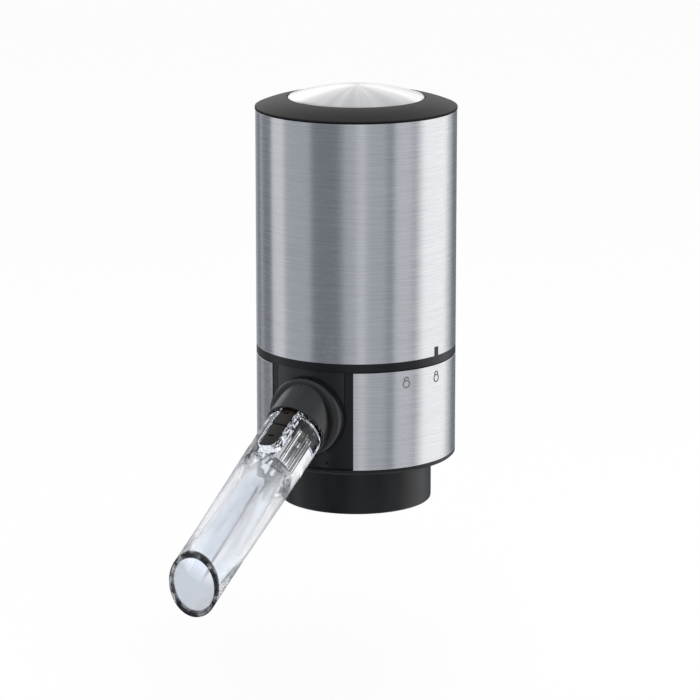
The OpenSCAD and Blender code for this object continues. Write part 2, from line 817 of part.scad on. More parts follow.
module battery_tray() color(dark) difference() {
    union() {
        disc(tray_r, z_tray, z_tray_plate + tray_plate_t / 2);
        disc(plug_r, z_tray_plate, z_tray_top);
        ring_of(screw_count, deck_screw_r, deck_post_first_deg)
            disc(tray_post_r, z_tray_plate + tray_plate_t / 2, z_button_deck);
        ring_of(screw_count, board_r - board_post_inset)
            disc(board_post_r, z_tray_plate + tray_plate_t / 2, z_board);
    }
    disc(pump_r + pump_gap, z_tray - cut, z_tray_plate);
    disc(end_cap_r + free_gap, z_tray_plate - cut, z_tray_top + cut);
    for (i = [0:cell_count - 1]) {
        at_cell(i) disc(cell_r + cell_gap, z_tray - cut, z_tray_plate);
        at_deg(cell_first_deg + 360 * (i + 0.5) / cell_count)
            translate([0, -tray_r, 0]) disc(pocket_r, z_tray - cut, z_tray_plate - tray_plate_t);
    }
    for (i = [0, 2, 4]) {
        contact_strip(i, z_tray_plate - contact_t);
        translate([0, 0, fit_gap]) contact_strip(i, z_tray_plate - contact_t);
    }
    ring_of(screw_count, deck_screw_r, deck_post_first_deg)
        disc(screw_r, z_button_deck_top - screw_l, z_button_deck + cut);
}

module battery_cover() color(black) difference() {
    union() {
        disc(spigot_in_r - free_gap, z_cover, z_cover_top);
        tube(pump_seat_r, pump_seat_r - pump_seat_wall, z_cover, z_cover_top + pump_seat_h);
    }
    disc(nozzle_r + free_gap, z_cover - cut, z_cover_top + cut);
    for (a = [90, 270]) at_deg(a) translate([-cover_slot_l / 2, -cell_place_r, z_cover - cut])
        cube([cover_slot_l, cover_slot_w, cut + cover_slot_h]);
}

// Pump and motor

module pump_head() color("gainsboro") difference() {
    disc(pump_r, z_pump, z_diaphragm);
    disc(nozzle_bore_r, z_pump - cut, z_diaphragm - valve_pocket_h);
    disc(cup_r, z_diaphragm - valve_pocket_h, z_diaphragm + cut);
    ring_of(chamber_count, chamber_place_r)
        disc(valve_pocket_r, z_diaphragm - valve_pocket_h, z_diaphragm + cut);
}

module diaphragm() color(rubber) {
    disc(pump_r, z_diaphragm, z_pump_body);
    ring_of(chamber_count, chamber_place_r) {
        disc(cup_r, z_diaphragm, z_pump_body + cup_h);
        disc(stem_r, z_diaphragm, z_stem_top);
    }
}

module pump_body() color("gainsboro") difference() {
    disc(pump_r, z_pump_body, z_motor);
    disc(pump_r - pump_wall, z_pump_body - cut, z_motor - motor_boss_h);
    disc(motor_boss_r + fit_gap, z_pump_body, z_motor + cut);
}

module air_nozzle() color("gainsboro") difference() {
    union() {
        disc(nozzle_r + nozzle_flange_w, z_cover_top + free_gap, z_pump);
        disc(nozzle_r, z_valve_top + nozzle_tip_lift, z_pump);
    }
    disc(nozzle_bore_r, z_valve_top, z_pump + cut);
}

module motor_can() color(steel) difference() {
    union() {
        disc(motor_r, z_motor, z_motor_top);
        disc(motor_boss_r, z_motor - motor_boss_h, z_motor + motor_base_t);
    }
    disc(motor_r - motor_wall, z_motor + motor_base_t, z_motor_top + cut);
    disc(shaft_r + bearing_gap, z_motor - motor_boss_h - cut, z_motor + motor_base_t + cut);
}

module motor_magnets() color(dark) for (a = [0, 180])
    sector(motor_r - motor_wall, motor_r - motor_wall - magnet_t, z_motor + magnet_lift,
        z_motor + magnet_lift + magnet_h, a - magnet_deg / 2, a + magnet_deg / 2);

module motor_end_cap() color("ivory") difference() {
    union() {
        disc(motor_r - motor_wall, z_end_plug, z_motor_top);
        disc(end_cap_r, z_end_plug, z_motor_top + end_cap_h);
    }
    disc(shaft_r + bearing_gap, z_end_plug - cut, z_shaft_top + free_gap);
}

module motor_brushes() color(brass) for (a = [0, 180]) at_deg(a) {
    translate([-brush_w / 2, -motor_r + 2 * motor_wall, z_commutator + brush_w / 2])
        cube([brush_w, motor_r - 2 * motor_wall - commutator_r - bearing_gap, brush_h]);
    translate([-brush_w / 2, -motor_r + 2 * motor_wall, z_commutator + brush_w / 2])
        cube([brush_w, brush_w, z_end_plug - z_commutator - brush_w / 2]);
}

module motor_leads() color("firebrick") for (x = [-lead_place_r, lead_place_r])
    translate([x, 0, 0]) disc(lead_r, z_motor_top + end_cap_h, z_board);

module motor_shaft() color(steel) disc(shaft_r, z_cam + cam_h / 2, z_shaft_top);

module armature() color("darkgoldenrod") difference() {
    disc(motor_r - motor_wall - magnet_t - armature_gap, z_armature, z_armature + armature_h);
    disc(shaft_r, z_armature - cut, z_armature + armature_h + cut);
    for (i = [0:armature_slots - 1]) at_deg(360 * i / armature_slots)
        translate([-armature_slot_w / 2, -motor_r, z_armature - cut])
        cube([armature_slot_w, motor_r - commutator_r - armature_slot_h / 2, armature_h + 2 * cut]);
}

module commutator() color(brass)
    tube(commutator_r, shaft_r, z_commutator, z_end_plug - free_gap);

module eccentric() color("ivory") difference() {
    disc(cam_r, z_cam, z_cam_top);
    disc(shaft_r, z_cam + cam_h / 2, z_cam_top + cut);
    translate([0, -cam_pin_place_r, 0]) disc(cam_pin_r, z_cam - cut, z_cam + cam_h / 2);
}

module swing_plate() color("ivory") {
    disc(swing_hub_r, z_swing, z_swing + swing_t);
    disc(swing_pin_r, z_swing, z_cam - cam_gap);
    for (i = [0:chamber_count - 1]) at_deg(360 * i / chamber_count) {
        translate([-swing_arm_w / 2, -chamber_place_r, z_swing])
            cube([swing_arm_w, chamber_place_r, swing_t]);
        translate([0, -chamber_place_r, 0]) disc(swing_arm_w / 2, z_swing, z_swing + swing_t);
    }
}

// Top of the head

module circuit_board() color("darkgreen") difference() {
    disc(board_r, z_board, z_board_top);
    for (x = [-lead_place_r, lead_place_r]) translate([x, 0, 0])
        disc(lead_r / 2, z_board - cut, z_board_top + cut);
}

module switch_body() color(dark) difference() {
    translate([-switch_w / 2, -switch_w / 2, z_board_top]) cube([switch_w, switch_w, switch_h]);
    disc(plunger_r + bearing_gap, z_switch_top - 2 * button_travel - plunger_guide - free_gap,
        z_switch_top + cut);
}

module switch_plunger() color("ivory")
    disc(plunger_r, z_switch_top - button_travel - plunger_guide, z_boss_end - free_gap);

module button_deck() color(dark) difference() {
    disc(plug_r, z_button_deck, z_button_deck_top);
    disc(carrier_boss_r + 2 * free_gap, z_button_deck - cut, z_button_deck_top + cut);
    ring_of(screw_count, deck_screw_r, deck_post_first_deg)
        disc(screw_r + fit_gap, z_button_deck - cut, z_button_deck_top + cut);
}

module return_spring() color(steel) coil(return_spring_r, return_spring_r, z_button_deck_top,
    z_carrier - free_gap, return_spring_turns, return_spring_wire_r, 6, 16);

module head_screws() color(steel) {
    ring_of(screw_count, deck_screw_r, deck_post_first_deg) screw(z_button_deck_top);
    ring_of(screw_count, index_screw_r)
        translate([0, 0, z_ring + screw_head_h]) rotate([180, 0, 0]) screw(0);
}

// The dome is a slice of a ball that passes through the rim and the apex
module button_disc() color(steel) rotate_extrude() difference() {
    intersection() {
        translate([0, z_apex - dome_r]) circle(r = dome_r, $fn = 360);
        translate([0, z_carrier_top]) square([button_r, z_apex - z_carrier_top]);
    }
    intersection() {
        translate([0, z_apex - dome_r]) circle(r = dome_r - button_wall, $fn = 360);
        translate([0, z_carrier_top - cut]) square([button_r - button_wall, z_apex]);
    }
    polygon([[button_r - 2 * button_edge, z_button_rim + button_edge],
        [button_r + cut, z_button_rim + button_edge], [button_r + cut, z_button_rim - button_edge],
        [button_r, z_button_rim - button_edge], [button_r - button_edge, z_button_rim]]);
}

module button_carrier() color(black) difference() {
    union() {
        disc(button_r, z_carrier, z_carrier_top);
        tube(button_r, button_r - carrier_wall, z_carrier_flange, z_carrier);
        tube(button_r + carrier_flange_out, button_r - carrier_wall, z_carrier_flange,
            z_carrier_flange + carrier_flange_h);
        disc(carrier_boss_r, z_boss_end, z_apex - button_wall - fit_gap - carrier_dome_drop);
    }
}

// Spout

// A long round-ended block on the upper side of the spout
module insert_block(r, from, to, low, high) {
    for (s = [from + r, to - r])
        translate([0, low, s]) rotate([-90, 0, 0]) cylinder(r = r, h = high - low);
    translate([-r, low, from + r]) cube([2 * r, high - low, to - from - 2 * r]);
}

module spout_tube() color(acrylic) difference() {
    on_spout() difference() {
        translate([0, 0, -spout_root]) cylinder(r = spout_r, h = spout_root + flare_end + flare_over);
        rotate_extrude() polygon(concat(
            [[0, -spout_root - cut], [inlet_r, -spout_root - cut], [inlet_r, inlet_end],
                [throat_r, inlet_end]],
            [for (i = [0:flare_steps]) let (s = flare_start
                + (flare_end + flare_over + cut - flare_start) * pow(i / flare_steps, flare_grading))
                [flare_r(s), s]],
            [[0, flare_end + flare_over + cut]]));
        insert_block(insert_r + fit_gap, insert_start - fit_gap, insert_start + insert_l + fit_gap,
            insert_floor, spout_r + cut);
        translate([0, 0, insert_start + insert_l / 2]) rotate([-90, 0, 0])
            cylinder(r = air_jet_r, h = spout_r);
        translate([0, 0, o_ring_place]) rotate_extrude()
            translate([o_ring_r - o_ring_wire_r, -o_ring_wire_r]) square([spout_r, 2 * o_ring_wire_r]);
    }
    translate([-body_r, -2 * spout_reach, -spout_reach]) cube([body_d, spout_reach, 2 * spout_reach]);
}

module aerator_insert() color(black) on_spout() difference() {
    insert_block(insert_r, insert_start, insert_start + insert_l, insert_floor, insert_top);
    translate([-insert_r - cut, insert_top - insert_groove_h,
        insert_start + (insert_l - insert_groove_w) / 2])
        cube([insert_w + 2 * cut, insert_groove_h + cut, insert_groove_w]);
    for (side = [-1, 1])
        translate([-insert_slot_w / 2, insert_top - insert_groove_h,
            insert_start + insert_l / 2 + side * insert_l / 4 - insert_slot_l / 2])
            cube([insert_slot_w, insert_groove_h + cut, insert_slot_l]);
}

module spout_o_ring() color(rubber) on_spout() translate([0, 0, o_ring_place])
    rotate_extrude() translate([o_ring_r, 0]) circle(r = o_ring_wire_r);

base_housing();
lower_sleeve();
lock_marks();
spout_mount();
bottle_collar();
neck_seal();
wine_block();
passage_seal();
base_deck();
check_valve();
air_seal();
base_screws();
index_ring();
head_casing();
upper_sleeve();
cap_ring();
battery_tray();
battery_cover();
battery_1();
battery_2();
battery_3();
battery_4();
battery_5();
battery_6();
lower_contacts();
upper_contacts();
battery_springs();
pump_head();
diaphragm();
pump_body();
air_nozzle();
motor_can();
motor_magnets();
motor_end_cap();
motor_brushes();
motor_leads();
circuit_board();
switch_body();
button_deck();
return_spring();
head_screws();
button_disc();
button_carrier();
switch_plunger();
motor_shaft();
armature();
commutator();
eccentric();
swing_plate();
spout_tube();
aerator_insert();
spout_o_ring();
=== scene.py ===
# %% [markdown]
# Electric wine aerator: how its surfaces look.
# The construction comes from CAD and is loaded as a fixed frame. This file gives every CAD node a
# finish, and builds the pieces that the eye rests on, the steel sleeves, the button disc, the
# mouldings and the clear spout, as finer meshes in the same place. The origin is the centre of the
# collar's mouth, +Z is up and the spout points to -Y. Blender works in metres. The sizes of pieces
# are written in millimetres, as on a drawing, and become metres when a mesh is made.

import json
from math import asin, cos, pi, radians, sin, sqrt, tan

import bpy
import bmesh
from mathutils import Matrix, Vector


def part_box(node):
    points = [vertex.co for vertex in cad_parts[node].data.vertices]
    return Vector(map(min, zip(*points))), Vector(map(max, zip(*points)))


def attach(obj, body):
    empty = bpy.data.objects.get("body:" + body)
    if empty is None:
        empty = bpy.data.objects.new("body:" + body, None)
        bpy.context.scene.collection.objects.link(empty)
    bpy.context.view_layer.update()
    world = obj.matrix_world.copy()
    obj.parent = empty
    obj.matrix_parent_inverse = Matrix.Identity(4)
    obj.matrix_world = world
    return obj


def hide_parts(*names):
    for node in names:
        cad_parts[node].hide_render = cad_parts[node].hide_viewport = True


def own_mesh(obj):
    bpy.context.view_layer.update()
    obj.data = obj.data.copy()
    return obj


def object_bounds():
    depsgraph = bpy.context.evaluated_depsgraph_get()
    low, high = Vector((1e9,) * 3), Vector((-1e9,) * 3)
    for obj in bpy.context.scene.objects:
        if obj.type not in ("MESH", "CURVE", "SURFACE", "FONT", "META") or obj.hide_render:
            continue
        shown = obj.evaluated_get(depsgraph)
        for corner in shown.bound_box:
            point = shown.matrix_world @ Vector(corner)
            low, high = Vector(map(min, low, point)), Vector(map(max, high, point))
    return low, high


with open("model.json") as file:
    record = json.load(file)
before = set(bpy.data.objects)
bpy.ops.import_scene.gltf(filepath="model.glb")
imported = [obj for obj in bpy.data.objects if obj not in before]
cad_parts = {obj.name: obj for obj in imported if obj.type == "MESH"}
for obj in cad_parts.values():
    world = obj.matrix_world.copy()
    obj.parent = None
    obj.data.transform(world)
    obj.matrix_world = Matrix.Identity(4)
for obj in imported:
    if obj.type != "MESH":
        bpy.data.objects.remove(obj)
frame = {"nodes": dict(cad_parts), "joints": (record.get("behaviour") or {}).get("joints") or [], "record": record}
cad_low, cad_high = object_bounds()
MM = 0.001
print("nodes in the frame:", len(frame["nodes"]))

# %% [markdown]
# A photograph is matched first by its camera. The ellipses of the sleeves say how far above the
# horizon the camera stands and how strong the perspective is, and the spout says from which side it
# looks. The camera aims at a point near the middle of the object from about a metre away, with a long
# lens, as product photographs are taken.

# %% Camera
LOOK_AT = Vector((-1.58, -0.91, 45.2)) * MM
AZIMUTH = radians(30)
ELEVATION = radians(13.085)
DISTANCE = 1090.8 * MM
LENS, SENSOR = 186, 36

toward_camera = Vector((sin(AZIMUTH) * cos(ELEVATION), -cos(AZIMUTH) * cos(ELEVATION), sin(ELEVATION)))
camera_data = bpy.data.cameras.new("studio_camera")
camera_data.lens = LENS
camera_data.sensor_width = SENSOR
camera = bpy.data.objects.new("studio_camera", camera_data)
camera.location = LOOK_AT + toward_camera * DISTANCE
camera.rotation_euler = (-toward_camera).to_track_quat("-Z", "Y").to_euler()
bpy.context.scene.collection.objects.link(camera)
bpy.context.scene.camera = camera
bpy.context.scene.view_settings.view_transform = "Standard"
print("camera at", tuple(round(c, 3) for c in camera.location))

# %% [markdown]
# Shader graphs are easier to read as formulas. A Wire wraps one output socket of a node, so
# that `1 - mask * 0.5` writes the Math nodes by itself. Colours don't go through Math nodes, which
# would turn them grey: a Mix node blends them, and Vector Math scales and adds vectors.

# %% Shader maths
class Wire:
    def __init__(self, finish, socket):
        self.finish = finish
        self.socket = socket

    def math(self, operation, *values):
        return self.finish.node("ShaderNodeMath", {"operation": operation}, dict(enumerate(values)))

    def __add__(self, other):
        return self.math("ADD", self, other)

    def __mul__(self, other):
        return self.math("MULTIPLY", self, other)

    def __sub__(self, other):
        return self.math("SUBTRACT", self, other)

    def __rsub__(self, other):
        return self.math("SUBTRACT", other, self)

    __radd__ = __add__


class Finish:
    """A node tree whose last shader is known, with the nodes that vary it."""

    def __init__(self, name, **constants):
        self.material = bpy.data.materials.new(name)
        self.material.use_nodes = True
        self.tree = self.material.node_tree
        self.shader = self.tree.nodes["Principled BSDF"]
        for key, value in constants.items():
            self.shader.inputs[key.replace("_", " ")].default_value = value

    def node(self, kind, settings=None, inputs=None, output=0):
        made = self.tree.nodes.new(kind)
        for key, value in (settings or {}).items():
            setattr(made, key, value)
        for key, value in (inputs or {}).items():
            self.join(made.inputs[key], value)
        return Wire(self, made.outputs[output])

    def join(self, socket, value):
        if isinstance(value, Wire):
            self.tree.links.new(value.socket, socket)
        else:
            socket.default_value = value

    def feed(self, name, value):
        self.join(self.shader.inputs[name], value)

    def place(self, stretch=(1, 1, 1)):
        """Where a point is on the piece, in metres, stretched along its axes."""
        here = self.node("ShaderNodeTexCoord", output="Object")
        return self.node("ShaderNodeVectorMath", {"operation": "MULTIPLY"}, {0: here, 1: stretch})

    def noise(self, per_metre, detail=2, roughness=0.5, vector=None):
        """Noise with that many waves a metre along X, Y and Z."""
        where = vector or self.place(per_metre)
        return self.node("ShaderNodeTexNoise", {}, {"Vector": where, "Scale": 1, "Detail": detail,
                                                   "Roughness": roughness})

    def radius(self):
        """How far a point is from the body's axis, in metres."""
        flat = self.place((1, 1, 0))
        return self.node("ShaderNodeVectorMath", {"operation": "LENGTH"}, {0: flat}, output="Value")

    def axis(self, index):
        """One of the three numbers of a point's place, in metres."""
        return self.node("ShaderNodeSeparateXYZ", {}, {0: self.place()}, output=index)

    def vector(self, *values):
        return self.node("ShaderNodeCombineXYZ", {}, dict(enumerate(values)))

    def band(self, value, low, high, to_low=0, to_high=1, shape="LINEAR"):
        """A value's range carried over to another one, clamped at both ends."""
        return self.node("ShaderNodeMapRange", {"interpolation_type": shape},
                         {"Value": value, "From Min": low, "From Max": high, "To Min": to_low,
                          "To Max": to_high})

    def mix(self, share, first, second):
        return self.node("ShaderNodeMix", {"data_type": "RGBA"}, {0: share, 6: first, 7: second}, output=2)

    def bump(self, height, distance, strength=1):
        raised = self.node("ShaderNodeBump", {}, {"Height": height, "Distance": distance,
                                                 "Strength": strength})
        self.feed("Normal", raised)


def tone(level, warmth=0.0):
    """A grey of that linear level, warmer above zero and cooler below it."""
    return (level * (1 + warmth), level, level * (1 - warmth), 1)

# %% [markdown]
# The studio decides how metal and glass look, since they show little else. Brushed steel mirrors
# its surroundings in long upright streaks, so the surroundings here are a ring of tall soft boxes
# with darker gaps between them. Each has an azimuth, a half width, a soft edge and a strength, and
# together they are added up in the world's shader. A low box behind the object lights the domed
# button, a pale ceiling lies above, and the darker parts are a little cooler. The camera and what
# is seen through the clear spout get a plain white backdrop instead.

# %% Studio surroundings
STUDIO_GAP = 0.2
SOFT_BOXES = [
    (-142, 14, 16, 0.24), (-109, 3.5, 6, 0.22), (-72.5, 11, 6, 0.47), (-43, 20, 6, 0.21),
    (40.5, 26.5, 14, 0.23), (36, 5, 8, 0.17), (86, 12, 8, 0.37), (136, 35, 14, 0.38), (134, 24, 14, 0.46)]
BACK_BOX = (-150, 60, 30, 0.85)
BACK_BOX_HEIGHTS = (0.06, 0.16, 0.45, 0.65)
OVERHEAD = 0.64
OVERHEAD_FROM, OVERHEAD_FULL = 0.5, 0.8
COOL, NEUTRAL = (0.88, 0.95, 1.06, 1), (1, 1, 1.01, 1)
COOL_BELOW = 0.9
FILL = 0.9
WHITE = 1.0


class Studio(Finish):
    """The same helper for the world, whose last shader is a Background."""

    def __init__(self, world):
        world.use_nodes = True
        self.tree = world.node_tree
        self.shader = self.tree.nodes["Background"]

    def soft_box(self, azimuth, centre, half_width, edge, strength):
        turned_to = azimuth.math("WRAP", azimuth - radians(centre), pi, -pi)
        off_centre = turned_to.math("ABSOLUTE", turned_to)
        return self.band(off_centre, radians(half_width - edge / 2), radians(half_width + edge / 2),
                         strength, 0, "SMOOTHSTEP")


world = bpy.data.worlds.new("studio")
bpy.context.scene.world = world
studio = Studio(world)
direction = studio.node("ShaderNodeTexCoord", output="Generated")
side, depth, height = (studio.node("ShaderNodeSeparateXYZ", {}, {0: direction}, output=i) for i in range(3))
azimuth = side.math("ARCTAN2", side, 0 - depth)
ring = sum((studio.soft_box(azimuth, *box) for box in SOFT_BOXES), STUDIO_GAP)
above = studio.band(height, OVERHEAD_FROM, OVERHEAD_FULL, 0, 1, "SMOOTHSTEP")
rise_from, rise_to, fall_from, fall_to = BACK_BOX_HEIGHTS
behind = (studio.soft_box(azimuth, *BACK_BOX)
          * studio.band(height, rise_from, rise_to, 0, 1, "SMOOTHSTEP")
          * studio.band(height, fall_from, fall_to, 1, 0, "SMOOTHSTEP"))
mirrored = (ring + behind) * (1 - above) + above * OVERHEAD
ray = {name: studio.node("ShaderNodeLightPath", output=name)
       for name in ("Is Camera Ray", "Is Glossy Ray", "Is Transmission Ray")}
backdrop = ray["Is Camera Ray"].math("MAXIMUM", ray["Is Camera Ray"], ray["Is Transmission Ray"])
lit = mirrored * ray["Is Glossy Ray"] + (1 - ray["Is Glossy Ray"]) * FILL
studio.feed("Strength", lit * (1 - backdrop) + backdrop * WHITE)
coolness = studio.band(mirrored, STUDIO_GAP, COOL_BELOW, 1, 0) * ray["Is Glossy Ray"]
studio.feed("Color", studio.mix(coolness, NEUTRAL, COOL))
print("soft boxes round the object:", len(SOFT_BOXES))

# %% [markdown]
# Light that enters the wall of a thick clear tube is thrown from side to side many times before it
# leaves. Cycles cuts such paths short, and the walls would then look black, so the limits are raised.

# %% Light paths
PATH_BOUNCES = 32
cycles = bpy.context.scene.cycles
cycles.max_bounces = cycles.glossy_bounces = cycles.transmission_bounces = PATH_BOUNCES
cycles.transparent_max_bounces = PATH_BOUNCES
print("light paths may turn", PATH_BOUNCES, "times")

# %% [markdown]
# One large lamp above the camera's right shoulder gives the shading a direction. It is wide for its
# distance, so that shadows stay soft, and mirrors don't show it. The floor lies below the object,
# which hangs as if its bottle were taken away. It is mostly as white as the backdrop by itself, and
# partly plain white paint, which is what keeps a soft shadow on it. Mirrors look through it.

# %% Lamp and floor
FLOOR_DROP = 60 * MM
FLOOR_HALF = 4
PAINT_SHARE = 0.25
LAMP_AT, LAMP_SIZE, LAMP_POWER = (0.55, -0.6, 1.1), 0.9, 5

lamp_data = bpy.data.lights.new("key_soft_box", "AREA")
lamp_data.size = LAMP_SIZE
lamp_data.energy = LAMP_POWER
lamp = bpy.data.objects.new("key_soft_box", lamp_data)
lamp.location = LAMP_AT
lamp.rotation_euler = (LOOK_AT - lamp.location).to_track_quat("-Z", "Y").to_euler()
lamp.visible_glossy = False
bpy.context.scene.collection.objects.link(lamp)

paint = Finish("floor_paint", Roughness=0.9)
paint.feed("Base Color", tone(0.98))
glow = paint.node("ShaderNodeEmission", {}, {"Color": tone(1), "Strength": WHITE})
blend = paint.node("ShaderNodeMixShader", {}, {0: PAINT_SHARE, 1: glow})
paint.tree.links.new(paint.shader.outputs[0], blend.socket.node.inputs[2])
nothing = paint.node("ShaderNodeBsdfTransparent")
see_through = paint.node("ShaderNodeLightPath", output="Is Glossy Ray")
shown = paint.node("ShaderNodeMixShader", {}, {0: see_through, 1: blend, 2: nothing})
paint.tree.links.new(shown.socket, paint.tree.nodes["Material Output"].inputs["Surface"])

floor_mesh = bpy.data.meshes.new("floor")
corners = [(x * FLOOR_HALF, y * FLOOR_HALF, cad_low.z - FLOOR_DROP)
           for x, y in ((-1, -1), (1, -1), (1, 1), (-1, 1))]
floor_mesh.from_pydata(corners, [], [(0, 1, 2, 3)])
floor_mesh.materials.append(paint.material)
floor = bpy.data.objects.new("floor", floor_mesh)
bpy.context.scene.collection.objects.link(floor)

# %% [markdown]
# The spout has an axis of its own, tilted down to the front. Its finish needs to know where a
# point is along that axis and how far from it, so the axis is set here, once for shader and shape.

# %% Spout axis
DATUM_Y, DATUM_Z = 30, 31.498
TILT = radians(30)
REACH = 92.4
CREASE = radians(-38)
on_spout = Matrix.Translation((0, -DATUM_Y, DATUM_Z)) @ Matrix.Rotation(pi / 2 + TILT, 4, "X")


def spout_place(finish):
    """A point's distance along the spout, towards the crease of its far wall and to the right."""
    start = Vector((0, -DATUM_Y, DATUM_Z)) * MM
    away = finish.node("ShaderNodeVectorMath", {"operation": "SUBTRACT"}, {0: finish.place(), 1: start})
    ways = (0, 0, 1), (sin(CREASE), -cos(CREASE), 0), (cos(CREASE), sin(CREASE), 0)
    return [finish.node("ShaderNodeVectorMath", {"operation": "DOT_PRODUCT"},
                        {0: away, 1: on_spout.to_3x3() @ Vector(way) / MM}, output="Value") for way in ways]

# %% [markdown]
# Brushed steel has two looks in one. Up close it is a bundle of hair-fine scratches, each with its
# own tone, and from afar those scratches smear every reflection across their direction. The first is
# noise that is stretched along the scratches. The second is the shader's anisotropy, turned by a
# quarter so that reflections run across the scratches. The same recipe, with noise that follows the
# radius, gives the turned disc. Over its lines lies a painted fan: wedges of slightly lighter and
# darker tone round the middle, a painted highlight fixed on the disc, which adds to the fan that its
# anisotropy reflects.

# %% Steel finishes
BRUSHED = {"Metallic": 1, "Anisotropic": 0.85, "Anisotropic_Rotation": 0.25}
LINES_PER_METRE, LINE_DRIFT = 5200, 30
# How many wedges of painted highlight and shade lie round the disc's middle.
PAINTED_FAN_WEDGES = 5


def brushed_sleeve():
    steel = Finish("brushed_steel", **BRUSHED)
    hairs = steel.noise((170, 170, 3400), detail=2, roughness=0.6)
    scratches = steel.noise((40, 40, 2300), detail=2, roughness=0.6)
    wear = hairs * 0.5 + scratches * 0.5
    steel.feed("Base Color", steel.mix(steel.band(wear, 0.36, 0.64), (0.715, 0.725, 0.74, 1),
                                       (0.835, 0.84, 0.85, 1)))
    steel.feed("Roughness", steel.band(wear, 0.3, 0.7, 0.21, 0.29))
    steel.bump(hairs, 0.03 * MM, 0.7)
    return steel


def spun_disc():
    steel = Finish("turned_steel", **BRUSHED)
    groove = steel.vector(steel.radius() * LINES_PER_METRE, steel.axis(0) * LINE_DRIFT,
                          steel.axis(1) * LINE_DRIFT)
    lines = steel.noise(None, detail=3, roughness=0.55, vector=groove)
    outward = steel.node("ShaderNodeVectorMath", {"operation": "NORMALIZE"}, {0: steel.place((1, 1, 0))})
    painted_fan_place = steel.node("ShaderNodeVectorMath", {"operation": "MULTIPLY"},
                           {0: outward, 1: (PAINTED_FAN_WEDGES,) * 3})
    painted_fan_highlight = steel.noise(None, detail=2, vector=painted_fan_place)
    # Painted highlight and shade: the fan of lighter and darker wedges, fixed round the middle, over the tone of
    # the turned lines.
    lit = steel.band(painted_fan_highlight, 0.36, 0.62) * 0.7 + steel.band(lines, 0.3, 0.7, 0, 0.3)
    steel.feed("Base Color", steel.mix(lit, (0.8, 0.79, 0.775, 1), (0.98, 0.97, 0.95, 1)))
    steel.feed("Roughness", steel.band(lines, 0.3, 0.7, 0.3, 0.38))
    steel.bump(lines, 0.012 * MM, 0.3)
    return steel


def plated(name, light, dark, per_metre, roughness):
    """Plated or drawn metal: faint stains and fine pits."""
    metal = Finish(name, Metallic=1)
    stains = metal.noise((per_metre,) * 3, detail=3)
    pits = metal.noise((per_metre * 9,) * 3, detail=2)
    metal.feed("Base Color", metal.mix(metal.band(stains, 0.35, 0.65), dark, light))
    metal.feed("Roughness", metal.band(stains, 0.3, 0.7, roughness * 0.8, roughness * 1.3))
    metal.bump(pits, 0.01 * MM, 0.4)
    return metal

# %% [markdown]
# Moulded plastic is rarely smooth: the steel of its mould was sparked or blasted, and leaves a fine
# even grain. Its colour hardly varies, but its gloss does, a little, where hands or the ejector
# have rubbed it. Grain goes into a bump, rubbing into the roughness, and a faint cloud into the
# colour, so that no surface is one flat tone.

# %% Plastic and rubber finishes
MOULD_GRAIN, GRAIN_HEIGHT = 4200, 0.012


def grained(plastic, grain=MOULD_GRAIN):
    """The even grain of a blasted mould, with that many waves a metre."""
    fine = plastic.noise((grain,) * 3, detail=2, roughness=0.6)
    plastic.bump(fine, GRAIN_HEIGHT * MM, 0.6)


def moulded(name, light=None, dark=None, grain=MOULD_GRAIN, roughness=0.4, **constants):
    """Moulded plastic; without colours or without grain, the caller adds its own."""
    plastic = Finish(name, **constants)
    cloud = plastic.noise((140,) * 3, detail=3)
    if light:
        plastic.feed("Base Color", plastic.mix(plastic.band(cloud, 0.35, 0.65), dark, light))
    plastic.feed("Roughness", plastic.band(cloud, 0.3, 0.7, roughness * 0.9, roughness * 1.15))
    if grain:
        grained(plastic, grain)
    return plastic

# %% [markdown]
# Clear plastic shows little of itself, so its shader is that of glass. The marks that are added are
# painted light and shade, fixed on the piece, in millimetres along the spout and to the sides of its
# crease: a painted cool and a painted warm reflection on the two flats of the far inner wall, a dark
# line of painted shade between them that leans and fades, painted grey shade on the walls inside the
# mouth, and painted shade that makes the rim of the cut nearly black, in patches. Along the middle
# the tube is partly see-through without bending the light, which keeps it bright.

# %% Clear finish
INNER_WALL_R, WALL_FROM = (7.2, 7.4), (23, 24)
MOUTH = (61, 66)
# Painted reflection on the two flats, cool and warm, and painted grey shade on the walls inside the mouth.
COOL_FLAT_REFLECTION, COOL_MOUTH_SHADE = (0.68, 0.74, 0.83, 1), (0.27, 0.295, 0.32, 1)
WARM_FLAT_REFLECTION, WARM_MOUTH_SHADE = (0.8, 0.77, 0.78, 1), (0.3, 0.285, 0.29, 1)
LINE_FROM, LINE_TO, LINE_LEAN, LINE_SOFT = 28, 42, 0.04, 0.3
# Painted shade of the dark line between the flats, dark at its start and faint at its end.
LINE_SHADE_DARK, LINE_SHADE_FAINT = (0.03, 0.03, 0.035, 1), (0.2, 0.12, 0.14, 1)
FLATS_FROM, FLATS_SPREAD, FLATS_HALF = 27, 0.4, 4.8
PLAIN_WALL, FLOW_TINT, FLOW_SHARE = (0.97, 0.98, 1, 1), (0.93, 0.96, 0.98, 1), 0.3
# Depth, least share and colour of the painted shade that makes the rim of the cut nearly black.
RIM_DEPTH, RIM_SHADE_LEAST, RIM_PAINTED_SHADE = (0.6, 1), 0.86, (0.001, 0.001, 0.0014, 1)
MIDDLE_FROM, MIDDLE_TO = (22, 28), (55, 62)
SIDE_FROM, SIDE_TO, SIDE_END = (5, 6), (7.5, 8), 0.3
SEE_THROUGH, SIDE_MORE = 0.3, 0.4


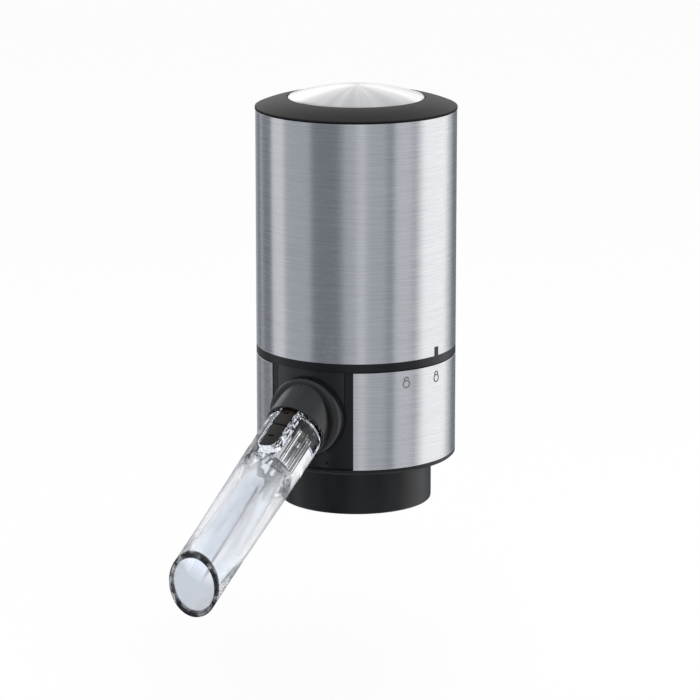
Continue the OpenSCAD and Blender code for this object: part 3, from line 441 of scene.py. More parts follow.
def clear_acrylic():
    clear = Finish("clear_acrylic", Transmission_Weight=1, IOR=1.49, Specular_IOR_Level=0.25)
    along, far, right = spout_place(clear)
    out = far.math("SQRT", far * far + right * right)
    off_line = right - (along - LINE_FROM) * LINE_LEAN
    beside = right.math("ABSOLUTE", off_line)
    flow = clear.noise((160, 40, 40), detail=1)
    far_wall = clear.band(out, *INNER_WALL_R, 1, 0) * clear.band(far, 0, 1) * clear.band(along, *WALL_FROM)
    in_mouth = clear.band(along, *MOUTH)
    # Painted reflection on the flats, turning to painted grey shade inside the mouth.
    cool_painted_light = clear.mix(in_mouth, COOL_FLAT_REFLECTION, COOL_MOUTH_SHADE)
    warm_painted_light = clear.mix(in_mouth, WARM_FLAT_REFLECTION, WARM_MOUTH_SHADE)
    flats_painted_light = clear.mix(clear.band(off_line, -LINE_SOFT, LINE_SOFT), cool_painted_light, warm_painted_light)
    # Painted shade: the dark line between the flats.
    shade_line = clear.mix(clear.band(along, LINE_FROM, LINE_TO), LINE_SHADE_DARK, LINE_SHADE_FAINT)
    flats_painted_light = clear.mix(clear.band(beside, LINE_SOFT, 2 * LINE_SOFT, 1, 0) * (1 - in_mouth), flats_painted_light, shade_line)
    reach = far.math("MINIMUM", (along - FLATS_FROM) * FLATS_SPREAD, FLATS_HALF)
    on_flats = clear.band(reach - beside, -LINE_SOFT, LINE_SOFT)
    on_flats = on_flats.math("MAXIMUM", on_flats, in_mouth)
    # The painted light lies only on the far inner wall. A faint random tint from the moulding's flow lies over it.
    painted_light_and_flow = clear.mix(far_wall, (1, 1, 1, 1), clear.mix(on_flats, PLAIN_WALL, flats_painted_light))
    painted_light_and_flow = clear.mix(flow * FLOW_SHARE, painted_light_and_flow, FLOW_TINT)
    # Painted shade: the rim of the cut is coloured nearly black, broken into patches by noise.
    rim = clear.band(clear.axis(1), *((depth - REACH) * MM for depth in RIM_DEPTH), 1, 0)
    rim_shade_patches = clear.band(clear.noise((300, 300, 300), detail=2), 0.36, 0.5)
    clear.feed("Base Color", clear.mix(rim * (RIM_SHADE_LEAST + rim_shade_patches * (1 - RIM_SHADE_LEAST)), painted_light_and_flow, RIM_PAINTED_SHADE))
    clear.feed("Roughness", clear.band(flow, 0.35, 0.65, 0.0, 0.012))
    middle = clear.band(along, *MIDDLE_FROM) * clear.band(along, *MIDDLE_TO, 1, 0)
    aside = right.math("ABSOLUTE", right)
    sides = clear.band(aside, *SIDE_FROM) * clear.band(aside, *SIDE_TO, 1, SIDE_END)
    clear.feed("Alpha", 1 - middle * (SEE_THROUGH + sides * SIDE_MORE))
    return clear

# %% [markdown]
# The pieces inside hardly show, but each has the look of its material: enamelled wire in turns, the
# weave of a circuit board under its coat, and the printed film round a cell.

# %% Finishes of the inner pieces
WIRE_PITCH, WEAVE_PITCH = 0.35, 0.6
FILM_BAND = (84.4, 84.6)


def winding():
    """Enamelled copper: turns of wire side by side, darker in the grooves between them by painted shade and
    lighter on their crests by a painted highlight.
    """
    copper = Finish("copper_winding", Metallic=1)
    turns = copper.axis(2) * (2 * pi / (WIRE_PITCH * MM))
    wave = turns.math("SINE", turns)
    # Painted shade and highlight: each turn is coloured darker in the groove beside it and lighter on its crest.
    copper.feed("Base Color", copper.mix(copper.band(wave, -1, 1), (0.35, 0.11, 0.04, 1),
                                         (0.78, 0.36, 0.16, 1)))
    copper.feed("Roughness", copper.band(wave, -1, 1, 0.45, 0.25))
    copper.bump(wave, 0.05 * MM, 0.6)
    return copper


def laminate():
    """A circuit board: woven glass under a green coat."""
    board = moulded("board_resin", (0.03, 0.2, 0.09, 1), (0.02, 0.14, 0.07, 1), grain=None,
                    roughness=0.3)
    weave_x, weave_y = (board.axis(i) * (2 * pi / (WEAVE_PITCH * MM)) for i in (0, 1))
    board.bump(weave_x.math("SINE", weave_x) * weave_y.math("SINE", weave_y), 0.02 * MM, 0.5)
    return board


def jacket():
    """A cell's printed film, with one plain lighter band towards its end."""
    film = moulded("cell_jacket", roughness=0.22)
    top = film.band(film.axis(2), *(z * MM for z in FILM_BAND))
    film.feed("Base Color", film.mix(top, (0.04, 0.12, 0.19, 1), (0.55, 0.46, 0.28, 1)))
    film.feed("Metallic", top * 0.8)
    return film

# %% [markdown]
# Every material slot of the construction gets one finish, and every CAD node takes the finish of its
# slot. Pieces that are built finer below take theirs from the same table, or bring one of their own.

# %% Finishes by slot
FINISHES = {
    "brushed_sleeve": brushed_sleeve(),
    "spun_disc": spun_disc(),
    "black_shell": moulded("black_moulding", (0.004, 0.0045, 0.006, 1), (0.0026, 0.003, 0.004, 1),
                           roughness=0.3, Specular_IOR_Level=0.43),
    "grey_print": moulded("laser_mark", tone(0.15), tone(0.1), roughness=0.55),
    "seal_rubber": moulded("seal_rubber", tone(0.05), tone(0.03), grain=2500, roughness=0.6),
    "milk_plastic": moulded("natural_acetal", (0.8, 0.79, 0.74, 1), (0.72, 0.71, 0.66, 1)),
    "inner_plastic": moulded("inner_moulding", tone(0.06), tone(0.045), roughness=0.5),
    "screw_steel": plated("nickel_plate", tone(0.72, 0.02), tone(0.6, 0.03), 400, 0.25),
    "can_steel": plated("zinc_plate", tone(0.66), tone(0.52), 250, 0.35),
    "cell_jacket": jacket(),
    "contact_brass": plated("stamped_brass", (0.83, 0.66, 0.32, 1), (0.68, 0.5, 0.22, 1), 300, 0.3),
    "magnet": plated("sintered_magnet", tone(0.14), tone(0.09), 900, 0.6),
    "copper_winding": winding(),
    "lead_sleeving": moulded("lead_sleeving", (0.5, 0.03, 0.025, 1), (0.4, 0.02, 0.02, 1)),
    "board_resin": laminate(),
    "clear_acrylic": clear_acrylic(),
    "black_insert": moulded("insert_moulding", tone(0.012, 0.18), tone(0.007, 0.18), roughness=0.26,
                            Specular_IOR_Level=0.32),
}

for part in frame["record"]["subparts"]:
    node = frame["nodes"][part["node"]]
    node.data.materials.clear()
    node.data.materials.append(FINISHES[part["material_slot"]].material)
print("finishes:", len(FINISHES))

# %% [markdown]
# Real edges are never perfectly sharp: a moulded or rolled edge has a small radius that catches a
# line of light. Here an outline is a list of corners, each with its own radius, and `eased` turns
# each corner into a short arc.

# %% Outlines with eased corners
ARC_STEPS = 5


def eased(corners):
    """The points of an outline whose corners (x, y, radius) are rounded, in millimetres."""
    points = []
    for i, (x, y, radius) in enumerate(corners):
        here = Vector((x, y))
        if not radius:
            points.append(here)
            continue
        back = Vector(corners[i - 1][:2]) - here
        on = Vector(corners[(i + 1) % len(corners)][:2]) - here
        setback = min(radius / tan(back.angle(on) / 2), back.length / 2, on.length / 2)
        start = here + back.normalized() * setback
        end = here + on.normalized() * setback
        for k in range(ARC_STEPS + 1):
            t = k / ARC_STEPS
            points.append(start * (1 - t) ** 2 + here * 2 * t * (1 - t) + end * t ** 2)
    return points

# %% [markdown]
# Most of this object was turned or rolled, so most of its pieces are outlines that are swept
# round an axis. Angles are counted from the front towards +X. A sweep that doesn't close gets
# a face at each end. Points on the axis fall together and are merged.

# %% Turned meshes
ROUND_STEPS = 288
MERGE = 0.0005


def turned(outline, first=0, last=360, steps=ROUND_STEPS, reshape=None):
    """A bmesh in millimetres of an outline (radius, height) swept round Z.

    reshape may change a radius by its height and the angle."""
    mesh = bmesh.new()
    whole = last - first == 360
    count = steps if whole else max(2, round(steps * (last - first) / 360)) + 1
    angles = [radians(first + (last - first) * i / (count if whole else count - 1)) for i in range(count)]
    rings = []
    for a in angles:
        shaped = [(reshape(r, z, a), z) for r, z in outline] if reshape else outline
        rings.append([mesh.verts.new((r * sin(a), -r * cos(a), z)) for r, z in shaped])
    pairs = list(zip(rings, rings[1:])) + ([(rings[-1], rings[0])] if whole else [])
    size = len(outline)
    for one, other in pairs:
        for j in range(size):
            k = (j + 1) % size
            mesh.faces.new((one[j], one[k], other[k], other[j]))
    if not whole:
        mesh.faces.new(rings[0])
        mesh.faces.new(rings[-1][::-1])
    bmesh.ops.remove_doubles(mesh, verts=mesh.verts, dist=MERGE)
    bmesh.ops.dissolve_degenerate(mesh, edges=mesh.edges, dist=MERGE)
    bmesh.ops.recalc_face_normals(mesh, faces=mesh.faces)
    return mesh


def block(low, high):
    """A bmesh box between two corners, in millimetres."""
    mesh = bmesh.new()
    middle = [(a + b) / 2 for a, b in zip(low, high)]
    size = [b - a for a, b in zip(low, high)]
    bmesh.ops.create_cube(mesh, size=1, matrix=Matrix.Translation(middle) @ Matrix.Diagonal((*size, 1)))
    return mesh

# %% [markdown]
# A finished bmesh becomes an object in metres. Smooth shading is kept off edges sharper than a
# set angle. Two shapes that cross are joined or cut with a Boolean modifier, which is then
# applied, so that the piece ends as one clean mesh.

# %% Pieces
SHARP = radians(32)


def as_object(name, mesh, at=Matrix.Identity(4)):
    data = bpy.data.meshes.new(name)
    mesh.transform(Matrix.Scale(MM, 4) @ at)
    mesh.to_mesh(data)
    mesh.free()
    made = bpy.data.objects.new(name, data)
    bpy.context.scene.collection.objects.link(made)
    return made


def combine(made, operation, *others):
    """Joins, cuts or trims an object with others by Boolean modifiers and applies them."""
    for other in others:
        step = made.modifiers.new(operation, "BOOLEAN")
        step.operation = operation
        step.solver = "EXACT"
        step.object = other
    graph = bpy.context.evaluated_depsgraph_get()
    result = bpy.data.meshes.new_from_object(made.evaluated_get(graph))
    made.modifiers.clear()
    made.data = result
    for other in others:
        bpy.data.objects.remove(other)
    return made


def finish_piece(made, finish, slot, body, *nodes):
    """Gives an object its material and its body, and lets it stand for CAD nodes."""
    made.data.materials.clear()
    made.data.materials.append(finish.material)
    made.data.shade_smooth()
    made.data.set_sharp_from_angle(angle=SHARP)
    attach(made, body)
    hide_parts(*nodes)
    print(made.name, "has", len(made.data.polygons), "faces")


def levels(node):
    """Lowest and highest point of a CAD node, in millimetres."""
    low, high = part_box(node)
    return low.z / MM, high.z / MM

# %% [markdown]
# The sleeves are rolled sheet, 0.8 mm thick. The lower one stops on both sides of the spout. Its cut
# ends, the only faces of that sweep with more than four corners, are sheared metal and show as
# bright strips. The upper one is notched for the index tab of the ring below it. Their mapping is
# centred on the body's axis, because the shader takes the direction of the brushing from there.

# %% Steel sleeves
BODY_R = 30
SHEET = 0.8
SHEET_EASE = 0.2
FILLER_HALF = 11.55
WINDOW_STRIP = 2.7
LOCKED = 82.4
TAB_W, TAB_H, TAB_GAP = 1.8, 2.7, 0.1
CUT = 1

SLEEVE_LOW, SLEEVE_TOP = levels("lower_sleeve")
HEAD_LOW, HEAD_TOP = levels("upper_sleeve")
window = asin((FILLER_HALF + WINDOW_STRIP) / BODY_R) * 180 / pi


def sheet_outline(low, high):
    inner = BODY_R - SHEET
    return eased([(inner, low, 0), (BODY_R, low, SHEET_EASE), (BODY_R, high, SHEET_EASE),
                  (inner, high, 0)])


def centre_mapping(made):
    made.data.use_auto_texspace = False
    made.data.texspace_location = (0, 0, 0)
    made.data.texspace_size = (BODY_R * MM,) * 3


lower = as_object("lower_steel_sleeve", turned(sheet_outline(SLEEVE_LOW, SLEEVE_TOP), window, 360 - window))
finish_piece(lower, FINISHES["brushed_sleeve"], "brushed_sleeve", "base", "lower_sleeve")
centre_mapping(lower)
sheared = plated("sheared_edge", tone(0.9), tone(0.8), 900, 0.5)
sheared.feed("Metallic", sheared.band(sheared.noise((900, 900, 2000)), 0.3, 0.7, 0.35, 0.6))
lower.data.materials.append(sheared.material)
for polygon in lower.data.polygons:
    if len(polygon.vertices) > 4:
        polygon.material_index = 1

upper = as_object("upper_steel_sleeve", turned(sheet_outline(HEAD_LOW, HEAD_TOP)))
notch_half = TAB_W / 2 + TAB_GAP
notch = as_object("notch", block((-notch_half, -BODY_R - CUT, HEAD_LOW - CUT),
                                 (notch_half, CUT - BODY_R, HEAD_LOW + TAB_H + TAB_GAP)),
                  Matrix.Rotation(radians(LOCKED), 4, "Z"))
combine(upper, "DIFFERENCE", notch)
finish_piece(upper, FINISHES["brushed_sleeve"], "brushed_sleeve", "head", "upper_sleeve")
centre_mapping(upper)

# %% [markdown]
# The cap ring is a moulding with a short upright edge and a face that slopes up to the button.
# The face is slightly crowned, as mouldings are made so that they don't look hollow, and its foot
# is dull where it meets the sleeve, where painted shade makes it nearly black. Underneath, a lip
# guides the button and a skirt enters the casing. The button is a disc of steel, domed and turned:
# its edge is broken by a small chamfer.

# %% Cap ring and button
CAP_OVER = 0.15
CAP_EDGE_H = 0.7
CAP_CROWN = 0.35
CAP_STEPS = 24
LIP_DEPTH, LIP_STEP, LIP_WALL = 3.1, 1.2, 2.8
ROOF_DEPTH, SKIRT_DEPTH, SKIRT_IN, SKIRT_OUT = 1.8, 5.1, 25.5, 27.1
# Height and fade of the painted shade at the cap's foot.
FOOT_SHADE_HEIGHT, FOOT_SHADE_FADE = 0.3, 0.1
BUTTON_R = 20.3
BUTTON_GAP = 0.3
DOME_STEPS = 40
BUTTON_WALL = 0.8
BUTTON_EASE = 0.3
CAP_LOW, CAP_HIGH = levels("cap_ring")
BUTTON_LOW, BUTTON_HIGH = levels("button_disc")
RIM_ABOVE_CAP = 0.1

hole_r = BUTTON_R + BUTTON_GAP
edge_r, edge_z = BODY_R + CAP_OVER, HEAD_TOP + CAP_EDGE_H
slope = [(edge_r + (hole_r - edge_r) * t, edge_z + (CAP_HIGH - edge_z) * t + CAP_CROWN * 4 * t * (1 - t), 0)
         for t in (i / CAP_STEPS for i in range(1, CAP_STEPS))]
lip_z, roof_z, skirt_z = HEAD_TOP - LIP_DEPTH, HEAD_TOP - ROOF_DEPTH, HEAD_TOP - SKIRT_DEPTH
cap_corners = ([(edge_r, HEAD_TOP, 0.1), (edge_r, edge_z, 0.3)] + slope
               + [(hole_r, CAP_HIGH, 0.25), (hole_r, lip_z, 0), (hole_r + LIP_STEP, lip_z, 0),
                  (hole_r + LIP_STEP, CAP_LOW, 0), (hole_r + LIP_WALL, CAP_LOW, 0),
                  (hole_r + LIP_WALL, roof_z, 0), (SKIRT_IN, roof_z, 0), (SKIRT_IN, skirt_z, 0),
                  (SKIRT_OUT, skirt_z, 0), (SKIRT_OUT, HEAD_TOP, 0)])
cap_plastic = Finish("cap_moulding", Specular_IOR_Level=0.24)
# Painted shade: the cap's foot is coloured nearly black up to a little above the sleeve, where it is also duller.
above_foot_shade = cap_plastic.band(cap_plastic.axis(2), (HEAD_TOP + FOOT_SHADE_HEIGHT) * MM, (edge_z + FOOT_SHADE_FADE) * MM)
cap_plastic.feed("Base Color", cap_plastic.mix(above_foot_shade, tone(0.002), tone(0.015, 0.04)))
cap_plastic.feed("Roughness", cap_plastic.band(above_foot_shade, 0, 1, 0.8, 0.5))
grained(cap_plastic)
cap = as_object("cap_ring_moulding", turned(eased(cap_corners)))
finish_piece(cap, cap_plastic, "black_shell", "head", "cap_ring")

rise = BUTTON_HIGH - CAP_HIGH - RIM_ABOVE_CAP
dome_r = (BUTTON_R ** 2 + rise ** 2) / (2 * rise)


def dome(radius, top_r):
    """Points of a dome of that ball radius, from its middle out to top_r."""
    middle = BUTTON_HIGH - dome_r
    across = [top_r * i / DOME_STEPS for i in range(DOME_STEPS + 1)]
    return [(r, middle + sqrt(radius ** 2 - r ** 2)) for r in across]


outside = dome(dome_r, BUTTON_R - BUTTON_EASE)
inside = dome(dome_r - BUTTON_WALL, BUTTON_R - BUTTON_WALL)
disc_outline = (outside + [(BUTTON_R, outside[-1][1] - BUTTON_EASE), (BUTTON_R, BUTTON_LOW),
                           (BUTTON_R - BUTTON_WALL, BUTTON_LOW)] + inside[::-1])
disc = as_object("turned_button_disc", turned(disc_outline))
finish_piece(disc, FINISHES["spun_disc"], "spun_disc", "button", "button_disc")
centre_mapping(disc)

# %% [markdown]
# The spout mount is one moulding: a slab that closes the slot in the housing, a round boss with a soft
# shoulder, and a socket that leans forward for the spout. Each is simple to make by itself, so
# they are joined by a Boolean, and then the bores are cut. Where shapes would share a face, one of
# them reaches a little further, which keeps the Boolean exact. Its plastic is glossier than the
# other black mouldings.

# %% Spout mount
SHELL_R, SHELL_IN = 29.1, 27.2
SLAB_HALF = FILLER_HALF - 0.15
SLAB_ANGLE = 40
BOSS_R, BOSS_FACE, BOSS_ROUND = 12, 32, 2.4
BOSS_START = 22
MOUNT_Z = 30.998
SOCKET_R, SOCKET_BORE = 9.4, 8.6
SOCKET_BACK, SOCKET_FLOOR, SOCKET_END = -6.2, -4.7, 6.7
MOUTH_EASE, LEAD_IN_W, LEAD_IN_L = 0.25, 0.15, 0.3
PASSAGE_Z, PASSAGE_R, PASSAGE_SEAT_R, PASSAGE_WALL_R = 31, 2.2, 3.9, 4.7
PASSAGE_FROM, PASSAGE_SEAT, PASSAGE_TO = 19.4, 21.4, 25.9
DECK_UNDER = 35.7
OVERLAP = 0.1
ROD_STEPS, SLOT_STEPS = 96, 72


def to_front(z):
    """Turns a mesh that was made along +Z to point from the axis to the front, at a level."""
    return Matrix.Translation((0, 0, z)) @ Matrix.Rotation(pi / 2, 4, "X")


def rod(name, radius, start, end, at):
    outline = [(0, start), (radius, start), (radius, end), (0, end)]
    return as_object(name, turned(outline, steps=ROD_STEPS), at)


def slot_prism(half, top):
    """The slot's outline, round below and open above, drawn out towards the front."""
    arc = [(half * cos(pi + pi * i / SLOT_STEPS), MOUNT_Z + half * sin(pi + pi * i / SLOT_STEPS))
           for i in range(SLOT_STEPS + 1)]
    outline = [(-half, top)] + arc + [(half, top)]
    mesh = bmesh.new()
    back = [mesh.verts.new((x, 0, z)) for x, z in outline]
    front = [mesh.verts.new((x, -BODY_R - CUT, z)) for x, z in outline]
    mesh.faces.new(back)
    mesh.faces.new(front[::-1])
    for i in range(len(outline)):
        j = (i + 1) % len(outline)
        mesh.faces.new((back[i], front[i], front[j], back[j]))
    bmesh.ops.recalc_face_normals(mesh, faces=mesh.faces)
    return as_object("slot_prism", mesh)


MOUNT_LOW, MOUNT_TOP = levels("spout_mount")
slab_outline = [(SHELL_IN, MOUNT_LOW), (SHELL_R, MOUNT_LOW), (SHELL_R, MOUNT_TOP), (SHELL_IN, MOUNT_TOP)]
slab = as_object("spout_mount_moulding", turned(slab_outline, -SLAB_ANGLE, SLAB_ANGLE))
combine(slab, "INTERSECT", slot_prism(SLAB_HALF, MOUNT_TOP + CUT))
boss_corners = [(0, BOSS_START, 0), (BOSS_R, BOSS_START, 0), (BOSS_R, BOSS_FACE, BOSS_ROUND),
                (0, BOSS_FACE, 0)]
boss = as_object("boss", turned(eased(boss_corners)), to_front(MOUNT_Z))
combine(boss, "DIFFERENCE", rod("inside", SHELL_R - OVERLAP, 0, 2 * MOUNT_TOP, Matrix.Identity(4)))
socket_corners = [(0, SOCKET_BACK, 0), (SOCKET_R, SOCKET_BACK, 0), (SOCKET_R, SOCKET_END, MOUTH_EASE),
                  (0, SOCKET_END, 0)]
socket = as_object("socket", turned(eased(socket_corners)), on_spout)
passage = rod("passage", PASSAGE_WALL_R, PASSAGE_FROM, PASSAGE_TO, to_front(PASSAGE_Z))
combine(slab, "UNION", boss, socket, passage)
mouth_r = SOCKET_BORE + LEAD_IN_W
bore_outline = [(0, SOCKET_FLOOR), (SOCKET_BORE, SOCKET_FLOOR), (SOCKET_BORE, SOCKET_END - LEAD_IN_L),
                (mouth_r, SOCKET_END), (mouth_r, SOCKET_END + CUT), (0, SOCKET_END + CUT)]
bore = as_object("bore", turned(bore_outline), on_spout)
combine(slab, "DIFFERENCE", bore,
        rod("hollow", SHELL_IN, DECK_UNDER, MOUNT_TOP + CUT, Matrix.Identity(4)),
        rod("seat", PASSAGE_SEAT_R, PASSAGE_FROM - CUT, PASSAGE_SEAT, to_front(PASSAGE_Z)),
        rod("wine_way", PASSAGE_R, PASSAGE_FROM, PASSAGE_TO + CUT, to_front(PASSAGE_Z)))
mount_plastic = moulded("mount_moulding", (0.006, 0.0062, 0.0068, 1), (0.004, 0.0042, 0.0047, 1),
                        roughness=0.27, Specular_IOR_Level=0.7)
finish_piece(slab, mount_plastic, "black_shell", "base", "spout_mount")

# %% [markdown]
# The spout is a thick clear tube. What the eye sees in it is mostly its inner wall: a narrow throat
# with flutes, which opens into a flare, whose far side has two flats that meet in a crease. The
# outside has a groove for the O-ring, a thin bead, and a shoulder that tapers towards the mouth. The
# slanting cut is made by a Boolean, and its two edges are rounded by a bevel, since real rims are
# flame-polished. The pocket on top takes the aerator insert.

# %% Clear spout
TUBE_R = 8.2
TUBE_ROOT = -4.4
INLET_R, INLET_END = 3, 6
THROAT_R, FLARE_START, FLARE_POWER = 3.7, 23.1, 0.35
FLARE_R, FLARE_OVER = 6.95, 9
RING_S, RING_FLOOR, RING_HALF = -2.3, 7.2, 0.6
INSERT_R, INSERT_FROM, INSERT_TO, INSERT_FLOOR = 2.9, 3.2, 22.7, 4.4
POCKET_GAP = 0.1
JET_R = 0.5
RIM_EASE = 0.3
WALL_STEPS, TUBE_STEPS = 64, 240
RIM_SEGMENTS, ON_PLANE = 4, 1e-6
ROUND_END_STEPS = 32
BEAD_S, BEAD_W, BEAD_H = 6.95, 0.7, 0.25
SHOULDER_R, SHOULDER_RISE, SHOULDER_END, TAPER_END = 8.8, 0.8, 23, 55
FACET_SPREAD, FACET_DEPTH = radians(24), 0.05
FLUTES, FLUTE_DEPTH = 8, 0.7

flare_end = (REACH - DATUM_Y) / cos(TILT)


def wall_r(s):
    """The inner wall's radius at a distance along the spout, past the start of its flare."""
    return THROAT_R + (FLARE_R - THROAT_R) * ((s - FLARE_START) / (flare_end - FLARE_START)) ** FLARE_POWER


def creased(r, s, angle):
    """Flutes the throat, and flattens the flare's far wall into two planes that meet in a crease."""
    if r == THROAT_R:
        return r - FLUTE_DEPTH * sin(FLUTES / 2 * angle) ** 2
    on_outside = r >= TUBE_R or r > FLARE_R + RIM_EASE and s < flare_end + FLARE_OVER
    if on_outside or s <= FLARE_START:
        return r
    share = min(1, (s - FLARE_START) / (flare_end - FLARE_START))
    flat = r * (1 - FACET_DEPTH * sin(pi * share))
    turns = [cos(angle - CREASE - side * FACET_SPREAD) for side in (-1, 1)]
    return min([r] + [flat / turn for turn in turns if turn > 0])


def stadium(name, radius, start, end, low, high):
    """A round-ended block on the upper side of the spout."""
    rim = [(radius * sin(a + pi * i / ROUND_END_STEPS), s + radius * cos(a + pi * i / ROUND_END_STEPS))
           for s, a in ((end - radius, -pi / 2), (start + radius, pi / 2))
           for i in range(ROUND_END_STEPS + 1)]
    mesh = bmesh.new()
    one, other = ([mesh.verts.new((x, y, s)) for x, s in rim] for y in (low, high))
    for i in range(len(rim)):
        j = (i + 1) % len(rim)
        mesh.faces.new((one[i], one[j], other[j], other[i]))
    mesh.faces.new(one)
    mesh.faces.new(other[::-1])
    bmesh.ops.recalc_face_normals(mesh, faces=mesh.faces)
    return as_object(name, mesh, on_spout)


steps = [FLARE_START + (flare_end + FLARE_OVER - FLARE_START) * (i / WALL_STEPS) ** 2
         for i in range(WALL_STEPS + 1)]
tube_outline = ([(INLET_R, TUBE_ROOT), (TUBE_R, TUBE_ROOT), (TUBE_R, RING_S - RING_HALF),
                 (RING_FLOOR, RING_S - RING_HALF), (RING_FLOOR, RING_S + RING_HALF),
                 (TUBE_R, RING_S + RING_HALF), (TUBE_R, BEAD_S), (TUBE_R + BEAD_H, BEAD_S + BEAD_H),
                 (TUBE_R + BEAD_H, BEAD_S + BEAD_W - BEAD_H), (TUBE_R, BEAD_S + BEAD_W),
                 (SHOULDER_R, BEAD_S + BEAD_W + SHOULDER_RISE), (SHOULDER_R, SHOULDER_END),
                 (TUBE_R, TAPER_END), (TUBE_R, steps[-1])]
                + [(wall_r(s), s) for s in steps[::-1]] + [(THROAT_R, INLET_END), (INLET_R, INLET_END)])
tube = as_object("clear_spout", turned(tube_outline, steps=TUBE_STEPS, reshape=creased), on_spout)
combine(tube, "DIFFERENCE",
        as_object("beyond", block((-BODY_R, -2 * REACH, -REACH), (BODY_R, -REACH, REACH))),
        stadium("pocket", INSERT_R + POCKET_GAP, INSERT_FROM - POCKET_GAP, INSERT_TO + POCKET_GAP,
                INSERT_FLOOR, TUBE_R + CUT),
        rod("air_jet", JET_R, 0, TUBE_R, on_spout @ Matrix.Translation(
            (0, 0, (INSERT_FROM + INSERT_TO) / 2)) @ Matrix.Rotation(-pi / 2, 4, "X")))


def round_rim(made, y, width):
    """Bevels the edges where a mesh meets the cutting plane at that y."""
    mesh = bmesh.new()
    mesh.from_mesh(made.data)
    on_plane = [e for e in mesh.edges if all(abs(v.co.y - y) < ON_PLANE for v in e.verts)
                and len(e.link_faces) == 2 and e.calc_face_angle() > SHARP / 2]
    bmesh.ops.bevel(mesh, geom=on_plane, offset=width, segments=RIM_SEGMENTS, profile=0.5,
                    affect="EDGES", clamp_overlap=True)
    mesh.to_mesh(made.data)
    mesh.free()
    print("rounded", len(on_plane), "edges of the rim")


round_rim(tube, -REACH * MM, RIM_EASE * MM)
finish_piece(tube, FINISHES["clear_acrylic"], "clear_acrylic", "spout", "spout_tube")

# %% [markdown]
# The aerator insert lies in the spout's pocket. A frame carries two pads, crowned like the tube
# round them and parted by a gap, and each pad has a slot that air passes through. A crown is made by
# keeping what lies inside a long cylinder.

# %% Aerator insert
PAD_INSET, PAD_R, FRAME_R = 0.55, 8.2, 7.75
PAD_GAP, PAD_EASE = 0.5, 0.18
SLOT_W, SLOT_L, SLOT_DEEP = 1.7, 0.7, 0.5

insert = stadium("aerator_insert_moulding", INSERT_R, INSERT_FROM, INSERT_TO, INSERT_FLOOR, PAD_R + CUT)
combine(insert, "INTERSECT", rod("crown", FRAME_R, 0, INSERT_TO + CUT, on_spout))
pads = stadium("pads", INSERT_R - PAD_INSET, INSERT_FROM + PAD_INSET, INSERT_TO - PAD_INSET,
               INSERT_FLOOR + CUT, PAD_R + CUT)
combine(pads, "INTERSECT", rod("crown", PAD_R, 0, INSERT_TO + CUT, on_spout))
insert_mid, insert_l = (INSERT_FROM + INSERT_TO) / 2, INSERT_TO - INSERT_FROM
cutters = []
for s, half_w, half_l, floor_v in ((0, INSERT_R + CUT, PAD_GAP / 2, FRAME_R - SLOT_DEEP),
                                   (-insert_l / 4, SLOT_W / 2, SLOT_L / 2, PAD_R - SLOT_DEEP),
                                   (insert_l / 4, SLOT_W / 2, SLOT_L / 2, PAD_R - SLOT_DEEP)):
    cutters.append(as_object("groove", block((-half_w, floor_v, insert_mid + s - half_l),
                                             (half_w, PAD_R + CUT, insert_mid + s + half_l)), on_spout))
combine(pads, "DIFFERENCE", *cutters)
combine(insert, "UNION", pads)
easing = insert.modifiers.new("eased_edges", "BEVEL")
easing.width = PAD_EASE * MM
easing.segments = 2
easing.angle_limit = SHARP
finish_piece(insert, FINISHES["black_insert"], "black_insert", "spout", "aerator_insert")

# %% [markdown]
# The bottle collar is a short tube with a flange inside, and the soft seal below the flange grips
# the bottle's neck. The seal's bore has shallow grooves that let its ribs bend.

# %% Collar and seal
COLLAR_R, COLLAR_IN, FLANGE_R, NECK_R = 22.75, 20.35, 16.2, 14.7
FLANGE_H = 3.8
RIB_COUNT, RIB_GROOVE, GROOVE_TALL, GROOVE_EASE = 4, 0.5, 1.4, 0.15
LIP_R, NECK_TOP = 6.5, 12.3
COLLAR_LOW, COLLAR_TOP = levels("bottle_collar")
SEAL_LOW, SEAL_TOP = levels("neck_seal")
step_z = COLLAR_TOP - FLANGE_H

collar = as_object("bottle_collar_moulding", turned(eased([
    (COLLAR_IN, COLLAR_LOW, 0.15), (COLLAR_R, COLLAR_LOW, 0.8), (COLLAR_R, COLLAR_TOP, 0),
    (FLANGE_R, COLLAR_TOP, 0), (FLANGE_R, step_z, 0), (COLLAR_IN, step_z, 0)])))
finish_piece(collar, FINISHES["black_shell"], "black_shell", "base", "bottle_collar")

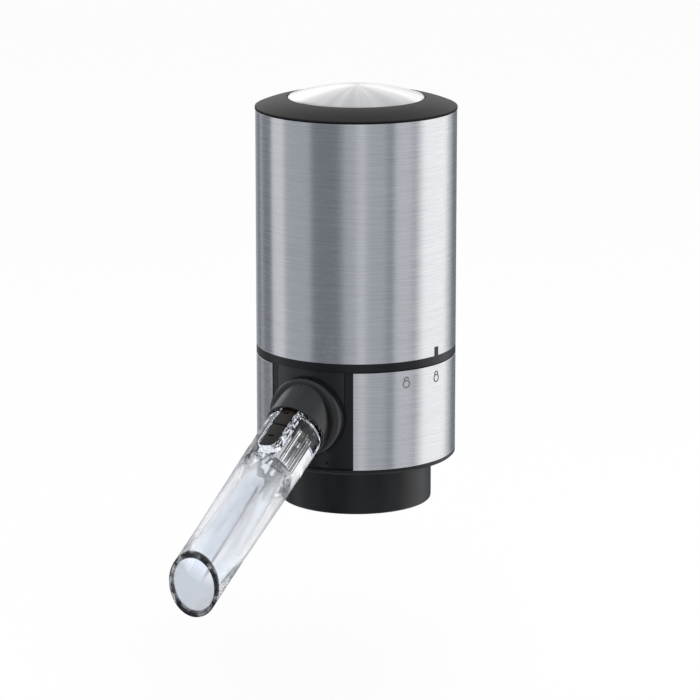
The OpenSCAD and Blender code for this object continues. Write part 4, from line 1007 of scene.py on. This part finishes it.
grooves = []
pitch = (NECK_TOP - SEAL_LOW) / (RIB_COUNT + 0.5)
groove_r = NECK_R + RIB_GROOVE
for i in range(RIB_COUNT):
    foot = SEAL_LOW + pitch * (i + 0.7)
    grooves += [(NECK_R, foot, GROOVE_EASE), (groove_r, foot + RIB_GROOVE, GROOVE_EASE),
                (groove_r, foot + GROOVE_TALL - RIB_GROOVE, GROOVE_EASE),
                (NECK_R, foot + GROOVE_TALL, GROOVE_EASE)]
seal = as_object("neck_seal_moulding", turned(eased(
    [(NECK_R, SEAL_LOW, 0.3)] + grooves + [(NECK_R, NECK_TOP, 0), (LIP_R, NECK_TOP, 0.2),
     (LIP_R, SEAL_TOP, 0.2), (FLANGE_R, COLLAR_TOP, 0), (FLANGE_R, step_z, 0), (COLLAR_IN, step_z, 0),
     (COLLAR_IN, SEAL_LOW, 0)])))
finish_piece(seal, FINISHES["seal_rubber"], "seal_rubber", "base", "neck_seal")

# %% [markdown]
# Under the button lies a coil spring. Its last turns are wound close, so that it stands flat, and on
# the real thing it shortens as the button goes down. One helix drawn by a formula gives the wire. The
# share of its height left at the button's full travel is worked out, but nothing here uses it.

# %% Return spring
SPRING_R, WIRE_R, TURNS = 9, 0.4, 4
SPRING_STEPS, WIRE_STEPS = 36, 10
FLAT_TURNS = 0.75
SPRING_LOW, SPRING_HIGH = levels("return_spring")
press = next(joint for joint in frame["joints"] if joint["name"] == "button_press")
travel = press["range_m"][1] / MM


def wire_z(turn):
    """The wire's level after that many turns, level at both ends."""
    share = min(1, max(0, (turn - FLAT_TURNS) / (TURNS - 2 * FLAT_TURNS)))
    coiled = SPRING_HIGH - SPRING_LOW - 2 * WIRE_R
    close = min(turn, FLAT_TURNS) + max(0, turn - TURNS + FLAT_TURNS)
    lift = 2 * WIRE_R * close
    return SPRING_LOW + WIRE_R + lift + (coiled - 4 * WIRE_R * FLAT_TURNS) * share


wire_angles = [2 * pi * k / WIRE_STEPS for k in range(WIRE_STEPS)]
wire_round = [(SPRING_R + WIRE_R * cos(b), WIRE_R * sin(b)) for b in wire_angles]
spring_mesh = bmesh.new()
rings = []
for i in range(TURNS * SPRING_STEPS + 1):
    turn = i / SPRING_STEPS
    a = 2 * pi * turn
    rings.append([spring_mesh.verts.new((r * sin(a), -r * cos(a), wire_z(turn) + z))
                  for r, z in wire_round])
for one, other in zip(rings, rings[1:]):
    for k in range(WIRE_STEPS):
        nxt = (k + 1) % WIRE_STEPS
        spring_mesh.faces.new((one[k], one[nxt], other[nxt], other[k]))
spring_mesh.faces.new(rings[0])
spring_mesh.faces.new(rings[-1][::-1])
bmesh.ops.recalc_face_normals(spring_mesh, faces=spring_mesh.faces)
spring = as_object("return_spring_coil", spring_mesh)
finish_piece(spring, FINISHES["screw_steel"], "screw_steel", "head", "return_spring")
spring_h = SPRING_HIGH - SPRING_LOW
(spring_h - travel) / spring_h
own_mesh(spring)
